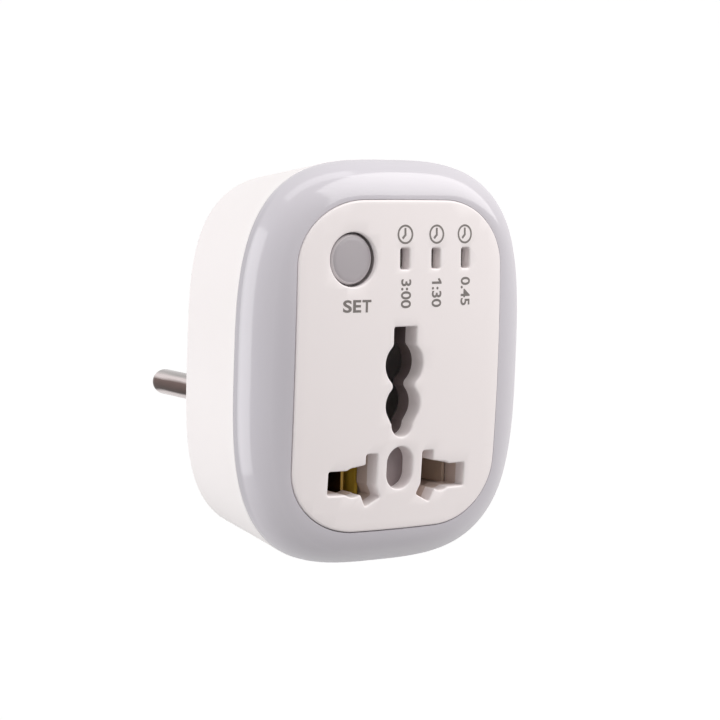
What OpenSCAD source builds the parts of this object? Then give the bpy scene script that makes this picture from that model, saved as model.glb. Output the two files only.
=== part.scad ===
// Plug-in countdown timer switch: a round-pin plug at the back, a multi-standard
// outlet with a SET button and three indicator windows at the front, and a
// night-light diffuser ring around the front panel.
//
// The origin is the middle of the plug's face, between the pins. +Y points at the
// wall, +X is to the right seen from the front, +Z is up. All sizes are in mm.

/* [Plug] */
// Distance between the axes of the two pins
pin_pitch = 19; // [18.6:0.1:19.4]
// Diameter of a pin
pin_d = 4.8; // [4.4:0.1:5]
// Length of a pin beyond the plug's face
pin_len = 19; // [17:0.5:22]
// Length of the rounded tip of a pin
pin_tip = 2.2; // [1.6:0.1:2.6]
// Diameter of the neck that passes through the boss's end wall
pin_neck_d = 4; // [3.8:0.1:4.2]
// Diameter of the collar behind the boss's end wall
pin_collar_d = 6.8; // [6:0.1:7.2]
// Thickness of that collar
pin_collar_t = 1.5; // [1:0.1:2]
// Diameter of the solder tail
pin_tail_d = 3.4; // [3.2:0.1:3.8]
// Length of the solder tail
pin_tail_len = 3; // [2.5:0.1:4]
// How far the boss stands out behind the rear shell
boss_len = 20; // [18:0.5:24]
// Diameter of the boss at the rear shell
boss_root_d = 36; // [34.6:0.1:36.8]
// Diameter of the boss at its face
boss_face_d = 31.2; // [30.6:0.1:33]
// Diameter of the hollow inside the boss
boss_bore_d = 26.8; // [26:0.1:27.4]
// Thickness of the boss's end wall
boss_end_wall = 3.5; // [3:0.1:4.5]
// Radius of the edge round the plug's face
boss_edge_r = 1; // [0.5:0.1:1.5]
// Width of the side earth clips
clip_w = 6; // [5:0.1:7]
// Thickness of the earth strap
clip_t = 0.8; // [0.6:0.05:1]
// Distance of the clips' seat from the plug's axis
clip_seat = 15.4; // [15:0.1:15.6]
// How far the clips bow outwards from their seat
clip_bow = 2.2; // [1.5:0.1:2.6]
// Distance of the strap's crossing bar from the plug's face
clip_bar_depth = 17.5; // [15:0.1:18]

/* [Body] */
// Width of the ring beside the panel
ring_side = 8; // [7.4:0.05:9]
// Width of the ring above and below the panel
ring_end = 6.7; // [6.4:0.05:8]
// Squareness of the outline at the ring: 2 is an ellipse
front_squareness = 3.2; // [3:0.05:3.6]
// Squareness of the outline at the rear
rear_squareness = 3.55; // [3.3:0.05:3.9]
// How far each side leans in from the seam to the rear
draft_side = 1.5; // [1:0.1:2]
// How far top and bottom lean in from the seam to the rear
draft_end = 3; // [2:0.1:3.4]
// Depth of the ring from the panel's corners to the seam
ring_depth = 6.5; // [6.2:0.1:7.2]
// Depth of the rear shell from the seam to its flat back
shell_depth = 18; // [17.6:0.1:20]
// Height of the panel's centre above the plug's axis
centre_rise = 9.5; // [9:0.1:10]
// Wall of the rear shell's sides
shell_wall = 2; // [1.6:0.1:2.2]
// Wall of the rear shell's back
shell_back = 2.2; // [2:0.1:2.6]
// Radius of the rear shell's back edge
shell_edge_r = 1.5; // [1:0.1:2]
// Wall of the ring
ring_wall = 1.8; // [1.4:0.1:2]
// Length of the ring's tongue inside the rear shell
tongue_len = 2; // [1.5:0.1:2.4]
// Thickness of that tongue
tongue_t = 1.2; // [1:0.1:1.4]

/* [Front panel] */
// Width of the panel
panel_w = 43.8; // [43:0.1:44.2]
// Height of the panel
panel_h = 57.3; // [56.6:0.1:58]
// Width of a panel corner's rounding
corner_w = 13.2; // [12:0.1:14]
// Height of a panel corner's rounding
corner_h = 11.4; // [10.5:0.1:12.4]
// How far the panel crowns across its width
crown_w = 1.34; // [0.9:0.01:1.6]
// How far the panel crowns along its height
crown_h = 0.96; // [0.6:0.01:1.2]
// Depth of the panel's flat back behind its corners
panel_back = 1.2; // [1:0.1:1.4]
// Gap between the panel and the ring
panel_gap = 0.15; // [0.1:0.05:0.2]
// Width of the ring's ledge under the panel's edge
ledge_w = 2.2; // [1.8:0.1:2.3]
// Thickness of that ledge
ledge_t = 1.4; // [1:0.1:1.6]

/* [Outlet] */
// Height of the line and neutral holes below the panel's centre
line_drop = 19.9; // [19.6:0.1:20.1]
// Outer end of the flat pin slots
slot_out = 14.75; // [14.6:0.05:14.9]
// Height of the flat pin slots
slot_h = 4.2; // [4.15:0.05:4.4]
// Inner side of the upright blade slots
blade_in = 4.85; // [4.7:0.05:5]
// Outer side of the upright blade slots
blade_out = 7.3; // [7.1:0.05:7.5]
// Top of the upright blade slots above the line holes
blade_top = 4.8; // [4.5:0.05:5]
// Diameter of the round pin holes
round_hole_d = 5.2; // [5:0.05:5.4]
// Width of the slanted blade slots
slant_w = 3.4; // [3:0.1:3.4]
// Lean of the slanted blade slots
slant_angle = 27; // [24:0.5:30]
// Width of the earth slot
earth_w = 4.9; // [4.8:0.05:5.2]
// Top of the earth slot above the line holes
earth_top = 26.75; // [26.5:0.05:27]
// Diameter of the earth slot's upper lobe
lobe_up_d = 8.1; // [7.8:0.1:8.6]
// Diameter of the earth slot's lower lobe
lobe_low_d = 7.4; // [7:0.1:7.8]
// Width of the middle oval
oval_w = 5.6; // [5.2:0.1:5.6]
// Height of the middle oval
oval_h = 7.5; // [7.2:0.1:7.8]
// Height of the oval's middle above the line holes
oval_rise = 2.05; // [1.9:0.05:2.1]
// Thickness of a contact leaf
leaf_t = 0.6; // [0.5:0.05:0.7]
// Depth of the contacts' front edges behind the panel's back
leaf_recess = 3.6; // [3.4:0.1:4.2]
// Depth of the earth contact's front edge behind the panel's back
earth_recess = 8.5; // [8:0.1:10]
// Wall of the socket core
core_wall = 1; // [0.8:0.05:1]
// Thickness of the core's face, whose holes follow the panel's
core_face_t = 3; // [2.6:0.1:3.2]
// Thickness of the socket core's floor
core_floor_t = 1.2; // [1:0.1:1.4]
// Gap between the socket core's floor and the rear shell's back
core_gap = 2.1; // [2:0.05:2.4]

/* [Timer controls] */
// Button centre to the left of the panel's centre
button_left = 11.1; // [10.8:0.1:11.4]
// Button centre above the panel's centre
button_rise = 18.5; // [18:0.1:18.8]
// Diameter of the button's cap
button_d = 8.9; // [8.5:0.05:9.2]
// Gap round the button
button_gap = 0.23; // [0.15:0.01:0.3]
// Depth of the button's face below the panel
button_recess = 0.8; // [0.5:0.05:1]
// Travel of the button
button_travel = 0.5; // [0.3:0.05:0.6]
// Length of the collar that guides the button
collar_len = 2; // [1.8:0.1:2.2]
// Diameter of the button's retaining flange
flange_d = 11.2; // [10.8:0.1:11.4]
// Thickness of that flange
flange_t = 0.8; // [0.6:0.05:1]
// Length of the button's stem
stem_len = 0.7; // [0.6:0.05:1]
// Side of the push switch's square body
switch_side = 6; // [5.6:0.1:6.2]
// Height of the push switch's body
switch_h = 3.1; // [2.9:0.1:3.5]
// Diameter of the push switch's plunger
plunger_d = 3.5; // [3:0.1:3.6]
// How far the plunger stands out of its switch
plunger_out = 0.8; // [0.7:0.05:1]
// Width of an indicator window
window_w = 1.9; // [1.7:0.05:2.1]
// Height of an indicator window
window_h = 3.6; // [3.4:0.05:3.8]
// Place of the first window to the right of the panel's centre
window_x = -0.45; // [-0.6:0.05:-0.2]
// Distance between the windows
window_pitch = 6.8; // [6.6:0.05:6.9]
// Height of the windows above the panel's centre
window_rise = 18.6; // [18.4:0.05:18.8]
// Depth of the light pipes' faces below the panel
window_recess = 2.1; // [1.9:0.05:2.2]
// Thickness of the main board
board_t = 1.2; // [1:0.1:1.6]
// Half of the main board's width
board_half_w = 23; // [22.6:0.1:23.4]
// Bottom edge of the main board above the panel's centre
board_bottom = 8.8; // [8.6:0.05:8.9]
// Thickness of the night-light's board
led_board_t = 1; // [0.8:0.1:1.2]
// Distance between the night-light's LEDs along a side
side_led_pitch = 11; // [8:0.5:12]
// Distance between its LEDs at the top and at the bottom
end_led_pitch = 13; // [8:0.5:13.5]

/* [Fasteners] */
// Diameter of a screw's head
head_d = 4.6; // [4.2:0.1:4.7]
// Height of a screw's head
head_h = 1.8; // [1.5:0.1:2.2]
// Diameter of a screw's shank
screw_d = 2.2; // [2:0.1:2.4]
// Length of a screw below its head
screw_len = 14; // [12:0.5:14.5]
// Diameter of the recess for a screw's head
recess_d = 5; // [4.8:0.1:5.2]
// Depth of that recess
recess_depth = 3.5; // [2.5:0.1:4]
// Diameter of the rear shell's posts
shell_post_d = 7; // [6.6:0.1:7.2]
// Diameter of the panel's posts
panel_post_d = 5.2; // [4.8:0.1:5.4]
// Length of the panel's posts
panel_post_len = 12.8; // [12:0.1:13.4]
// Side screws from the middle
side_screw_x = 16; // [15.8:0.1:16.4]
// Side screws above the panel's centre
side_screw_rise = 4.6; // [4.4:0.1:4.8]
// Top screw above the panel's centre
top_screw_rise = 23.7; // [23.4:0.05:23.8]

/* [Hidden] */
$fn = 64;

// Flat clearance between parts that don't touch, and round the shanks in their holes
rest_gap = 0.3;
fit_gap = 0.05;

// Size of the body across the ring
body_w = panel_w + 2 * ring_side;
body_h = panel_h + 2 * ring_end;

// Points round an outline, and steps across a bull-nose
outline_n = 72;
nose_steps = 6;

// Depths along Y, from the plug's face to the front
y_back_face = -boss_len;
y_seam = y_back_face - shell_depth;
y_front = y_seam - ring_depth;
y_panel_back = y_front + panel_back;
y_shell_floor = y_back_face - shell_back;
y_core_rear = y_shell_floor - core_gap;
y_core_floor = y_core_rear - core_floor_t;
y_split = y_panel_back + panel_post_len;
y_led_board = y_seam - 0.9;

// The button's stack, from its collar to the main board
y_flange = y_panel_back + collar_len + rest_gap;
y_stem_end = y_flange + flange_t + stem_len;
y_switch = y_stem_end + plunger_out;
y_board = y_switch + switch_h;
y_board_back = y_board + board_t;

// Heights
z_mid = centre_rise;
z_line = z_mid - line_drop;
z_button = z_mid + button_rise;
z_window = z_mid + window_rise;
z_board_low = z_mid + board_bottom;
z_side_screw = z_mid + side_screw_rise;
z_top_screw = z_mid + top_screw_rise;
x_pin = pin_pitch / 2;

// Height of the panel's crown above the plane of its corners
function crown(x, z) =
  crown_w * (1 - pow(2 * x / panel_w, 2)) + crown_h * (1 - pow(2 * z / panel_h, 2));

// Closed outline of the body, moved in by inset; lean is 0 at the seam and 1 at the back
function body_outline(inset, lean = 0) =
  let (a = body_w / 2 - inset - lean * draft_side,
       b = body_h / 2 - inset - lean * draft_end,
       n = front_squareness + lean * (rear_squareness - front_squareness))
  [for (i = [0:outline_n - 1])
    let (t = 360 * i / outline_n, c = cos(t), s = sin(t),
         r = pow(pow(abs(c) / a, n) + pow(abs(s) / b, n), -1 / n))
    [r * c, r * s]];

// Distance from the panel's centre to its outline, which has elliptical corners
function panel_radius(c, s, a, b, rw, rh) =
  let (flat = min(a / max(c, 0.0001), b / max(s, 0.0001)),
       cx = a - rw, cz = b - rh,
       p = pow(c / rw, 2) + pow(s / rh, 2),
       q = c * cx / pow(rw, 2) + s * cz / pow(rh, 2),
       k = pow(cx / rw, 2) + pow(cz / rh, 2) - 1)
  (flat * c > cx && flat * s > cz) ? (q + sqrt(q * q - p * k)) / p : flat;

// Closed outline of the panel, moved in by inset
function panel_outline(inset) =
  [for (i = [0:outline_n - 1])
    let (t = 360 * i / outline_n, c = cos(t), s = sin(t),
         r = panel_radius(abs(c), abs(s), panel_w / 2 - inset, panel_h / 2 - inset,
                          corner_w - inset, corner_h - inset))
    [r * c, r * s]];

function mix_outlines(p, q, share) = [for (i = [0:outline_n - 1]) p[i] + (q[i] - p[i]) * share];

// An outline put at depth y
function ring_at(outline, y) = [for (p = outline) [p[0], y, p[1] + z_mid]];

// The bull-nose of the ring at angle t, thinned by wall on its inner side
function nose_ring(t, wall) =
  let (lip = panel_outline(-panel_gap), rim = body_outline(wall),
       flat = mix_outlines(lip, rim, sin(t)))
  [for (i = [0:outline_n - 1])
    let (y_lip = y_front - crown(lip[i][0], lip[i][1]) + wall)
    [flat[i][0], y_lip + (y_seam - y_lip) * (1 - cos(t)), flat[i][1] + z_mid]];

// Faces of a skin over rings of points; the rings run towards +Y on the outer side
function skin_faces(rings, count) =
  [for (i = [0:rings - 2]) for (j = [0:count - 1])
    let (k = (j + 1) % count)
    [i * count + j, i * count + k, (i + 1) * count + k, (i + 1) * count + j]];

// Closed skin with a flat cap at each end
module capped_skin(rings) {
  n = len(rings[0]);
  last = (len(rings) - 1) * n;
  points = [for (r = rings) for (p = r) p];
  polyhedron(points, concat(
    skin_faces(len(rings), n),
    [[for (j = [n - 1:-1:0]) j], [for (j = [0:n - 1]) last + j]]));
}

// Closed skin whose last ring joins its first
module looped_skin(rings) {
  n = len(rings[0]);
  closed = concat(rings, [rings[0]]);
  points = [for (r = rings) for (p = r) p];
  polyhedron(points, [for (f = skin_faces(len(closed), n)) [for (v = f) v % len(points)]]);
}

// Flat shape in X and Z, thickened from depth y0 to y1
module slab(y0, y1) {
  translate([0, y1, 0]) rotate([90, 0, 0]) linear_extrude(y1 - y0) children();
}

// Round bar along Y
module bar(x, z, d, y0, y1) {
  translate([x, y1, z]) rotate([90, 0, 0]) cylinder(d = d, h = y1 - y0);
}

// Block between two corners
module block(low, high) {
  translate(low) cube(high - low);
}

// Shape turned about the Y axis from a profile of [radius, depth] points
module turned(profile) {
  rotate([-90, 0, 0]) rotate_extrude() polygon(profile);
}

// Keeps what is drawn for the right side, and adds its mirror image
module both_sides() {
  children();
  mirror([1, 0, 0]) children();
}

// The same for what is drawn for the top
module both_ends() {
  children();
  mirror([0, 0, 1]) children();
}

// Corner cutting turns a route of straight runs into a smooth one
function rounded_route(p, passes) = passes == 0 ? p : rounded_route(concat(
  [p[0]],
  [for (i = [0:len(p) - 2]) each [p[i] * 0.75 + p[i + 1] * 0.25, p[i] * 0.25 + p[i + 1] * 0.75]],
  [p[len(p) - 1]]), passes - 1);

function unit(v) = v / norm(v);

// Round lead of diameter d along a route of [x, depth, z] points
module lead(route, d) {
  sides = 8;
  p = rounded_route(route, 2);
  rings = [for (i = [0:len(p) - 1])
    let (t = unit(p[min(i + 1, len(p) - 1)] - p[max(i - 1, 0)]),
         u = unit(cross(t, [1, 0, 0])), v = cross(u, t))
    [for (k = [0:sides - 1]) p[i] + (u * sin(360 * k / sides) + v * cos(360 * k / sides)) * d / 2]];
  capped_skin(rings);
}

/* Front panel */

// Solid behind the crowned front face, as a wide barrel turned about an upright axis
module crowned_solid() {
  half_w = panel_w / 2;
  reach_z = panel_h / 2 + 2;
  radius_w = (half_w * half_w + crown_w * crown_w) / (2 * crown_w);
  radius_h = (pow(panel_h / 2, 2) + crown_h * crown_h) / (2 * crown_h);
  steps = 16;
  front = [for (i = [0:steps])
    let (z = -reach_z + 2 * reach_z * i / steps)
    [radius_w - radius_h + sqrt(radius_h * radius_h - z * z), z]];
  shell = crown_w + crown_h + 8;
  translate([0, y_front - crown_w - crown_h + radius_w, z_mid])
    rotate([0, 0, -90 - 12]) rotate_extrude(angle = 24, $fn = 180)
      polygon(concat(front, [[radius_w - shell, reach_z], [radius_w - shell, -reach_z]]));
}

// One side's line hole: flat pin slot, round hole, upright blade and slanted blade
module line_hole() {
  slant_foot = [5.4, -3.65];
  translate([blade_in, -slot_h / 2]) square([slot_out - blade_in, slot_h]);
  translate([x_pin, 0]) circle(d = round_hole_d);
  polygon([[blade_out, 0], [blade_out, round_hole_d / 2 + 0.35],
           [x_pin, round_hole_d / 2], [x_pin, 0]]);
  translate([blade_in, 0]) square([blade_out - blade_in, blade_top]);
  translate(slant_foot) rotate(-slant_angle)
    translate([-slant_w / 2, 0]) square([slant_w, blade_top]);
}

module earth_hole() {
  lobe_up = 20.2;
  lobe_low = 13.1;
  foot_d = 4.6;
  foot = 9.8;
  translate([-earth_w / 2, lobe_low]) square([earth_w, earth_top - lobe_low]);
  translate([0, lobe_up]) circle(d = lobe_up_d);
  translate([0, lobe_low]) circle(d = lobe_low_d);
  polygon([[-lobe_low_d * 0.46, lobe_low - 1.5], [lobe_low_d * 0.46, lobe_low - 1.5],
           [foot_d / 2, foot], [-foot_d / 2, foot]]);
  translate([0, foot]) circle(d = foot_d);
}

module oval_hole() {
  for (side = [-1, 1])
    translate([0, oval_rise + side * (oval_h - oval_w) / 2]) circle(d = oval_w);
  translate([-oval_w / 2, oval_rise - (oval_h - oval_w) / 2]) square([oval_w, oval_h - oval_w]);
}

// The three window places, each [x, z]
WINDOWS = [for (i = [0:2]) [window_x + i * window_pitch, z_window]];

module window_row(w, h) {
  for (p = WINDOWS) translate([p[0] - w / 2, p[1] - h / 2]) square([w, h]);
}

// Screw places, each [x, z]
SCREWS = [[-side_screw_x, z_side_screw], [side_screw_x, z_side_screw], [0, z_top_screw]];

// Where the panel's standoffs and the shell's ribs hold the main board
standoff_x = panel_w / 2 - ledge_w - 1.8;
rib_x = 21.2;
hold_z = z_board_low + 2.2;

module front_panel() color([0.93, 0.91, 0.91]) {
  hole_d = button_d + 2 * button_gap;
  through = crown_w + crown_h + 2;
  difference() {
    union() {
      intersection() {
        slab(y_front - through, y_panel_back) translate([0, z_mid]) polygon(panel_outline(0));
        crowned_solid();
      }
      bar(-button_left, z_button, hole_d + 2.4, y_panel_back - 1, y_panel_back + collar_len);
      for (p = SCREWS) bar(p[0], p[1], panel_post_d, y_panel_back - 0.5, y_split);
      both_sides() bar(standoff_x, hold_z, 3.2, y_panel_back - 0.5, y_board);
    }
    slab(y_front - through, y_panel_back + 1) {
      translate([0, z_line]) {
        both_sides() line_hole();
        earth_hole();
        oval_hole();
      }
      window_row(window_w, window_h);
    }
    bar(-button_left, z_button, hole_d, y_front - through, y_panel_back + collar_len + 1);
    for (p = SCREWS) bar(p[0], p[1], screw_d + 2 * fit_gap, y_split - 9, y_split + 1);
  }
}

/* Ring and rear shell */

// Reach of the ring's skirt outside and inside the panel's outline
skirt_out = 0.8;
skirt_in = 0.4;

module diffuser_ring() color([0.78, 0.76, 0.8]) {
  tongue_out = shell_wall + 0.1;
  tongue_in = tongue_out + tongue_t;
  y_ledge_back = y_panel_back + ledge_t;
  outer = [for (i = [0:nose_steps]) nose_ring(90 * i / nose_steps, 0)];
  inner = [for (t = [62, 44, 26, 10]) nose_ring(t, ring_wall)];
  looped_skin(concat(
    outer,
    [ring_at(body_outline(tongue_out), y_seam),
     ring_at(body_outline(tongue_out), y_seam + tongue_len),
     ring_at(body_outline(tongue_in), y_seam + tongue_len),
     ring_at(body_outline(tongue_in), y_seam - 1.6)],
    inner,
    [ring_at(panel_outline(-skirt_out), y_ledge_back),
     ring_at(panel_outline(-skirt_out), y_led_board),
     ring_at(panel_outline(skirt_in), y_led_board),
     ring_at(panel_outline(skirt_in), y_ledge_back),
     ring_at(panel_outline(ledge_w), y_ledge_back),
     ring_at(panel_outline(ledge_w), y_panel_back),
     ring_at(panel_outline(-panel_gap), y_panel_back)]));
}

// Boss that carries the pins, with a rounded edge round its face
module boss() {
  root_r = boss_root_d / 2;
  face_r = boss_face_d / 2;
  edge = [for (i = [0:4]) let (t = 90 * i / 4)
    [face_r - boss_edge_r + boss_edge_r * cos(t), -boss_edge_r + boss_edge_r * sin(t)]];
  turned(concat([[0, y_back_face - 1], [root_r, y_back_face - 1], [root_r, y_back_face]],
                edge, [[0, 0]]));
}

// Seat of the strap: a flat groove in the boss under each clip, and the crossing bar's slot
module strap_seat() {
  half = clip_w / 2 + 0.1;
  both_ends() {
    block([-half, -clip_bar_depth - clip_t - 0.1, clip_seat - 0.1], [half, 1, boss_root_d]);
    block([-half, -clip_bar_depth - clip_t - 0.1, boss_bore_d / 2 - 1],
          [half, -clip_bar_depth + 0.1, clip_seat]);
  }
}

module rear_shell() color([0.96, 0.95, 0.95]) {
  wall_bend = 1.5;
  rebate = tongue_len + 0.4;
  fillet = [for (t = [0, 30, 60, 90])
    ring_at(body_outline(shell_edge_r * (1 - cos(t)), 1),
            y_back_face - shell_edge_r + shell_edge_r * sin(t))];
  difference() {
    union() {
      capped_skin(concat(
        [ring_at(body_outline(shell_wall + wall_bend * 0.7, 1), y_shell_floor),
         ring_at(body_outline(shell_wall, 1), y_shell_floor - wall_bend),
         ring_at(body_outline(shell_wall), y_seam + rebate),
         ring_at(body_outline(shell_wall), y_seam),
         ring_at(body_outline(0), y_seam)],
        fillet));
      boss();
      for (p = SCREWS) bar(p[0], p[1], shell_post_d, y_split, y_back_face - 1);
      both_sides() block([rib_x - 1, y_board_back, hold_z - 1], [rib_x + 1, y_back_face - 1, hold_z + 1]);
      both_sides() for (pad = CORE_PADS)
        block([pad[0] - 1.5, y_core_rear, pad[1] - 1], [pad[0] + 1.5, y_back_face - 1, pad[1] + 1]);
    }
    bar(0, 0, boss_bore_d, y_shell_floor - 1, -boss_end_wall);
    both_sides() bar(x_pin, 0, pin_d + 2 * fit_gap, -boss_end_wall - 1, 1);
    strap_seat();
    for (p = SCREWS) {
      bar(p[0], p[1], screw_d + 0.4, y_split - 1, y_back_face + 1);
      bar(p[0], p[1], recess_d, y_back_face - recess_depth, y_back_face + 1);
    }
  }
}

/* Plug */

module plug_pin(side) {
  r = pin_d / 2;
  tip = [for (i = [0:6]) let (t = 90 * i / 6)
    [r * cos(t), pin_len - pin_tip + pin_tip * sin(t)]];
  y_collar = -boss_end_wall - pin_collar_t;
  translate([side * x_pin, 0, 0]) turned(concat(
    [[0, y_collar - pin_tail_len], [pin_tail_d / 2, y_collar - pin_tail_len],
     [pin_tail_d / 2, y_collar], [pin_collar_d / 2, y_collar],
     [pin_collar_d / 2, -boss_end_wall], [pin_neck_d / 2, -boss_end_wall],
     [pin_neck_d / 2, 0], [r, 0]], tip));
}

module live_pin() color([0.8, 0.78, 0.75]) plug_pin(-1);
module neutral_pin() color([0.8, 0.78, 0.75]) plug_pin(1);

function below(points) = [for (p = points) [p[0], -p[1]]];
function backwards(points) = [for (i = [len(points) - 1:-1:0]) points[i]];

// Strip from clip to clip: a bar across the boss, bent out of it and bowed along its sides
module earth_strap() color([0.85, 0.84, 0.8]) {
  y_bar = -clip_bar_depth;
  tip_y = -1.6;
  inside = [for (i = [0:8])
    [y_bar + (tip_y - y_bar) * i / 8, clip_seat + clip_bow * sin(180 * i / 8)]];
  outside = concat([[y_bar - clip_t, clip_seat + clip_t]], [for (p = inside) p + [0, clip_t]]);
  translate([-clip_w / 2, 0, 0]) rotate([90, 0, 90]) linear_extrude(clip_w)
    polygon(concat(backwards(outside), below(outside), backwards(below(inside)), inside));
}

/* Outlet */

// Pocket of one side's line contact, and the block of the core round both
pocket_in = 3.6;
pocket_out = 15.2;
pocket_mid = 9.4;
pocket_low = 5;
pocket_high = 5.1;
pocket_flat = 2.65;

module line_pocket(grow) {
  translate([pocket_in - grow, -pocket_flat - grow])
    square([pocket_out - pocket_in + 2 * grow, 2 * (pocket_flat + grow)]);
  translate([pocket_in - grow, -pocket_low - grow])
    square([pocket_mid - pocket_in + 2 * grow, pocket_low + pocket_high + 2 * grow]);
}

deck_half_w = 9;
deck_top = board_bottom - 0.3 + line_drop;

// Pads of the rear shell that carry the core, each [x, z] on the right side
CORE_PADS = [[6.5, z_line - pocket_low], [4, z_mid + board_bottom - 1.8]];

// Place of a line contact's solder tab, measured from the middle
tab_x = 12;

module socket_core() color([0.72, 0.7, 0.7]) {
  y_face_rear = y_panel_back + core_face_t;
  difference() {
    union() {
      slab(y_panel_back, y_core_rear) translate([0, z_line]) {
        both_sides() line_pocket(core_wall);
        translate([-pocket_in, -pocket_low - core_wall])
          square([2 * pocket_in, pocket_low + pocket_high + 2 * core_wall]);
      }
      slab(y_core_floor, y_core_rear) translate([-deck_half_w, z_line])
        square([2 * deck_half_w, deck_top]);
      slab(y_panel_back, y_face_rear) translate([-lobe_up_d / 2 - core_wall, z_line + pocket_high])
        square([lobe_up_d + 2 * core_wall, earth_top + core_wall - pocket_high]);
    }
    slab(y_face_rear, y_core_floor) translate([0, z_line]) both_sides() line_pocket(0);
    slab(y_panel_back - 1, y_face_rear + 1) translate([0, z_line]) {
      both_sides() line_hole();
      earth_hole();
    }
    block([-pocket_in + core_wall, y_panel_back + core_floor_t, z_line - pocket_low],
          [pocket_in - core_wall, y_core_rear + 1, z_line + pocket_high]);
    both_sides() block([tab_x - 1.2, y_core_floor - 1, z_line - leaf_t / 2 - 0.1],
                       [tab_x + 1.2, y_core_rear + 1, z_line + leaf_t / 2 + 0.1]);
    block([-earth_tab_w / 2 - 0.1, y_core_floor - 1, earth_tab_z - leaf_t / 2 - 0.1],
          [earth_tab_w / 2 + 0.1, y_core_rear + 1, earth_tab_z + leaf_t / 2 + 0.1]);
  }
}

// Brass leaf upright in the outlet, with its front edge flared to one side
module leaf(x, flare, z0, z1, y0, y1) {
  bend = 1.6;
  translate([0, 0, z0]) linear_extrude(z1 - z0) polygon([
    [x + flare, y0], [x + leaf_t + flare, y0], [x + leaf_t, y0 + bend],
    [x + leaf_t, y1], [x, y1], [x, y0 + bend]]);
}

// Line contact: a pair of tall leaves for blades, an outer leaf, a back strip and a tab
module line_contact(side) {
  y0 = y_panel_back + leaf_recess;
  y1 = y_core_floor;
  blade_leaf = 7.3;
  tall = 4.5;
  inner = 4.6;
  outer = pocket_out - leaf_t - 0.2;
  mirror([side < 0 ? 1 : 0, 0, 0]) {
    leaf(inner, -0.4, z_line - tall, z_line + tall, y0, y1);
    leaf(blade_leaf, 0, z_line - tall, z_line + tall, y0, y1);
    leaf(outer, 0, z_line - pocket_flat + 0.2, z_line + pocket_flat - 0.2, y0, y1);
    block([inner, y1 - leaf_t, z_line - pocket_flat + 0.2],
          [outer + leaf_t, y1, z_line + pocket_flat - 0.2]);
    block([tab_x - 1, y1 - leaf_t, z_line - leaf_t / 2],
          [tab_x + 1, y_shell_floor - rest_gap, z_line + leaf_t / 2]);
  }
}

module live_contact() color([0.83, 0.68, 0.3]) line_contact(-1);
module neutral_contact() color([0.83, 0.68, 0.3]) line_contact(1);

// Earth contact: two leaves on a base strip, and a tab back to the strap's bar
earth_tab_z = 7.5;
earth_tab_w = 3;

module earth_contact() color([0.83, 0.68, 0.3]) {
  y0 = y_panel_back + earth_recess;
  low = z_line + 9.4;
  high = z_line + earth_top;
  gap = 2.3;
  both_sides() leaf(gap, 0.5, low, high, y0, y_core_floor);
  block([-gap - leaf_t, y_core_floor - leaf_t, low], [gap + leaf_t, y_core_floor, high]);
  block([-earth_tab_w / 2, y_core_floor - leaf_t, earth_tab_z - leaf_t / 2],
        [earth_tab_w / 2, -clip_bar_depth - clip_t, earth_tab_z + leaf_t / 2]);
}

/* Timer controls */

y_cap = y_front - crown(button_left, button_rise) + button_recess;

module set_button() color([0.65, 0.63, 0.64]) {
  r = button_d / 2;
  edge_r = 0.5;
  edge = [for (i = [0:4]) let (t = 90 * i / 4)
    [r - edge_r + edge_r * sin(t), y_cap + edge_r - edge_r * cos(t)]];
  translate([-button_left, 0, z_button]) turned(concat(
    [[0, y_cap]], edge,
    [[r, y_flange], [flange_d / 2, y_flange], [flange_d / 2, y_flange + flange_t],
     [1.6, y_flange + flange_t], [1.6, y_stem_end], [0, y_stem_end]]));
}

switch_bore_depth = 1.6;

module push_switch() color([0.2, 0.2, 0.22]) {
  half = switch_side / 2;
  difference() {
    block([-button_left - half, y_switch, z_button - half],
          [-button_left + half, y_board, z_button + half]);
    bar(-button_left, z_button, plunger_d + 2 * fit_gap, y_switch - 1, y_switch + switch_bore_depth);
  }
}

module switch_plunger() color([0.15, 0.15, 0.16])
  bar(-button_left, z_button, plunger_d, y_stem_end, y_switch + switch_bore_depth - button_travel - 0.1);

lens_flange_t = 1.2;
led_chip_t = 0.8;

module indicator_lens() color([0.85, 0.88, 0.88, 0.6]) {
  margin_w = 1;
  margin_h = 0.5;
  for (p = WINDOWS) {
    y_face = y_front - crown(p[0], window_rise) + window_recess;
    slab(y_face, y_board - led_chip_t - rest_gap)
      translate([p[0] - window_w / 2 + 0.1, p[1] - window_h / 2 + 0.1])
        square([window_w - 0.2, window_h - 0.2]);
  }
  slab(y_panel_back, y_panel_back + lens_flange_t)
    translate([WINDOWS[0][0] - window_w / 2 - margin_w, z_window - window_h / 2 - margin_h])
      square([2 * window_pitch + window_w + 2 * margin_w, window_h + 2 * margin_h]);
}

module indicator_leds() color([0.95, 0.93, 0.8])
  for (p = WINDOWS)
    block([p[0] - 0.8, y_board - led_chip_t, p[1] - 1], [p[0] + 0.8, y_board, p[1] + 1]);

module main_board() color([0.1, 0.4, 0.2]) {
  edge_inset = shell_wall + tongue_t + 1;
  difference() {
    slab(y_board, y_board_back) intersection() {
      translate([0, z_mid]) polygon(body_outline(edge_inset));
      translate([-board_half_w, z_board_low]) square([2 * board_half_w, body_h]);
    }
    bar(0, z_top_screw, panel_post_d + 2 * rest_gap, y_board - 1, y_board_back + 1);
  }
}

module timer_chip() color([0.12, 0.12, 0.13])
  block([2, y_board - 1.5, z_board_low + 1.2], [7, y_board, z_board_low + 5.2]);

module led_board() color([0.9, 0.9, 0.88])
  slab(y_led_board, y_led_board + led_board_t) translate([0, z_mid]) difference() {
    polygon(body_outline(shell_wall + tongue_t + 0.5));
    polygon(panel_outline(0.6));
  }

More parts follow.
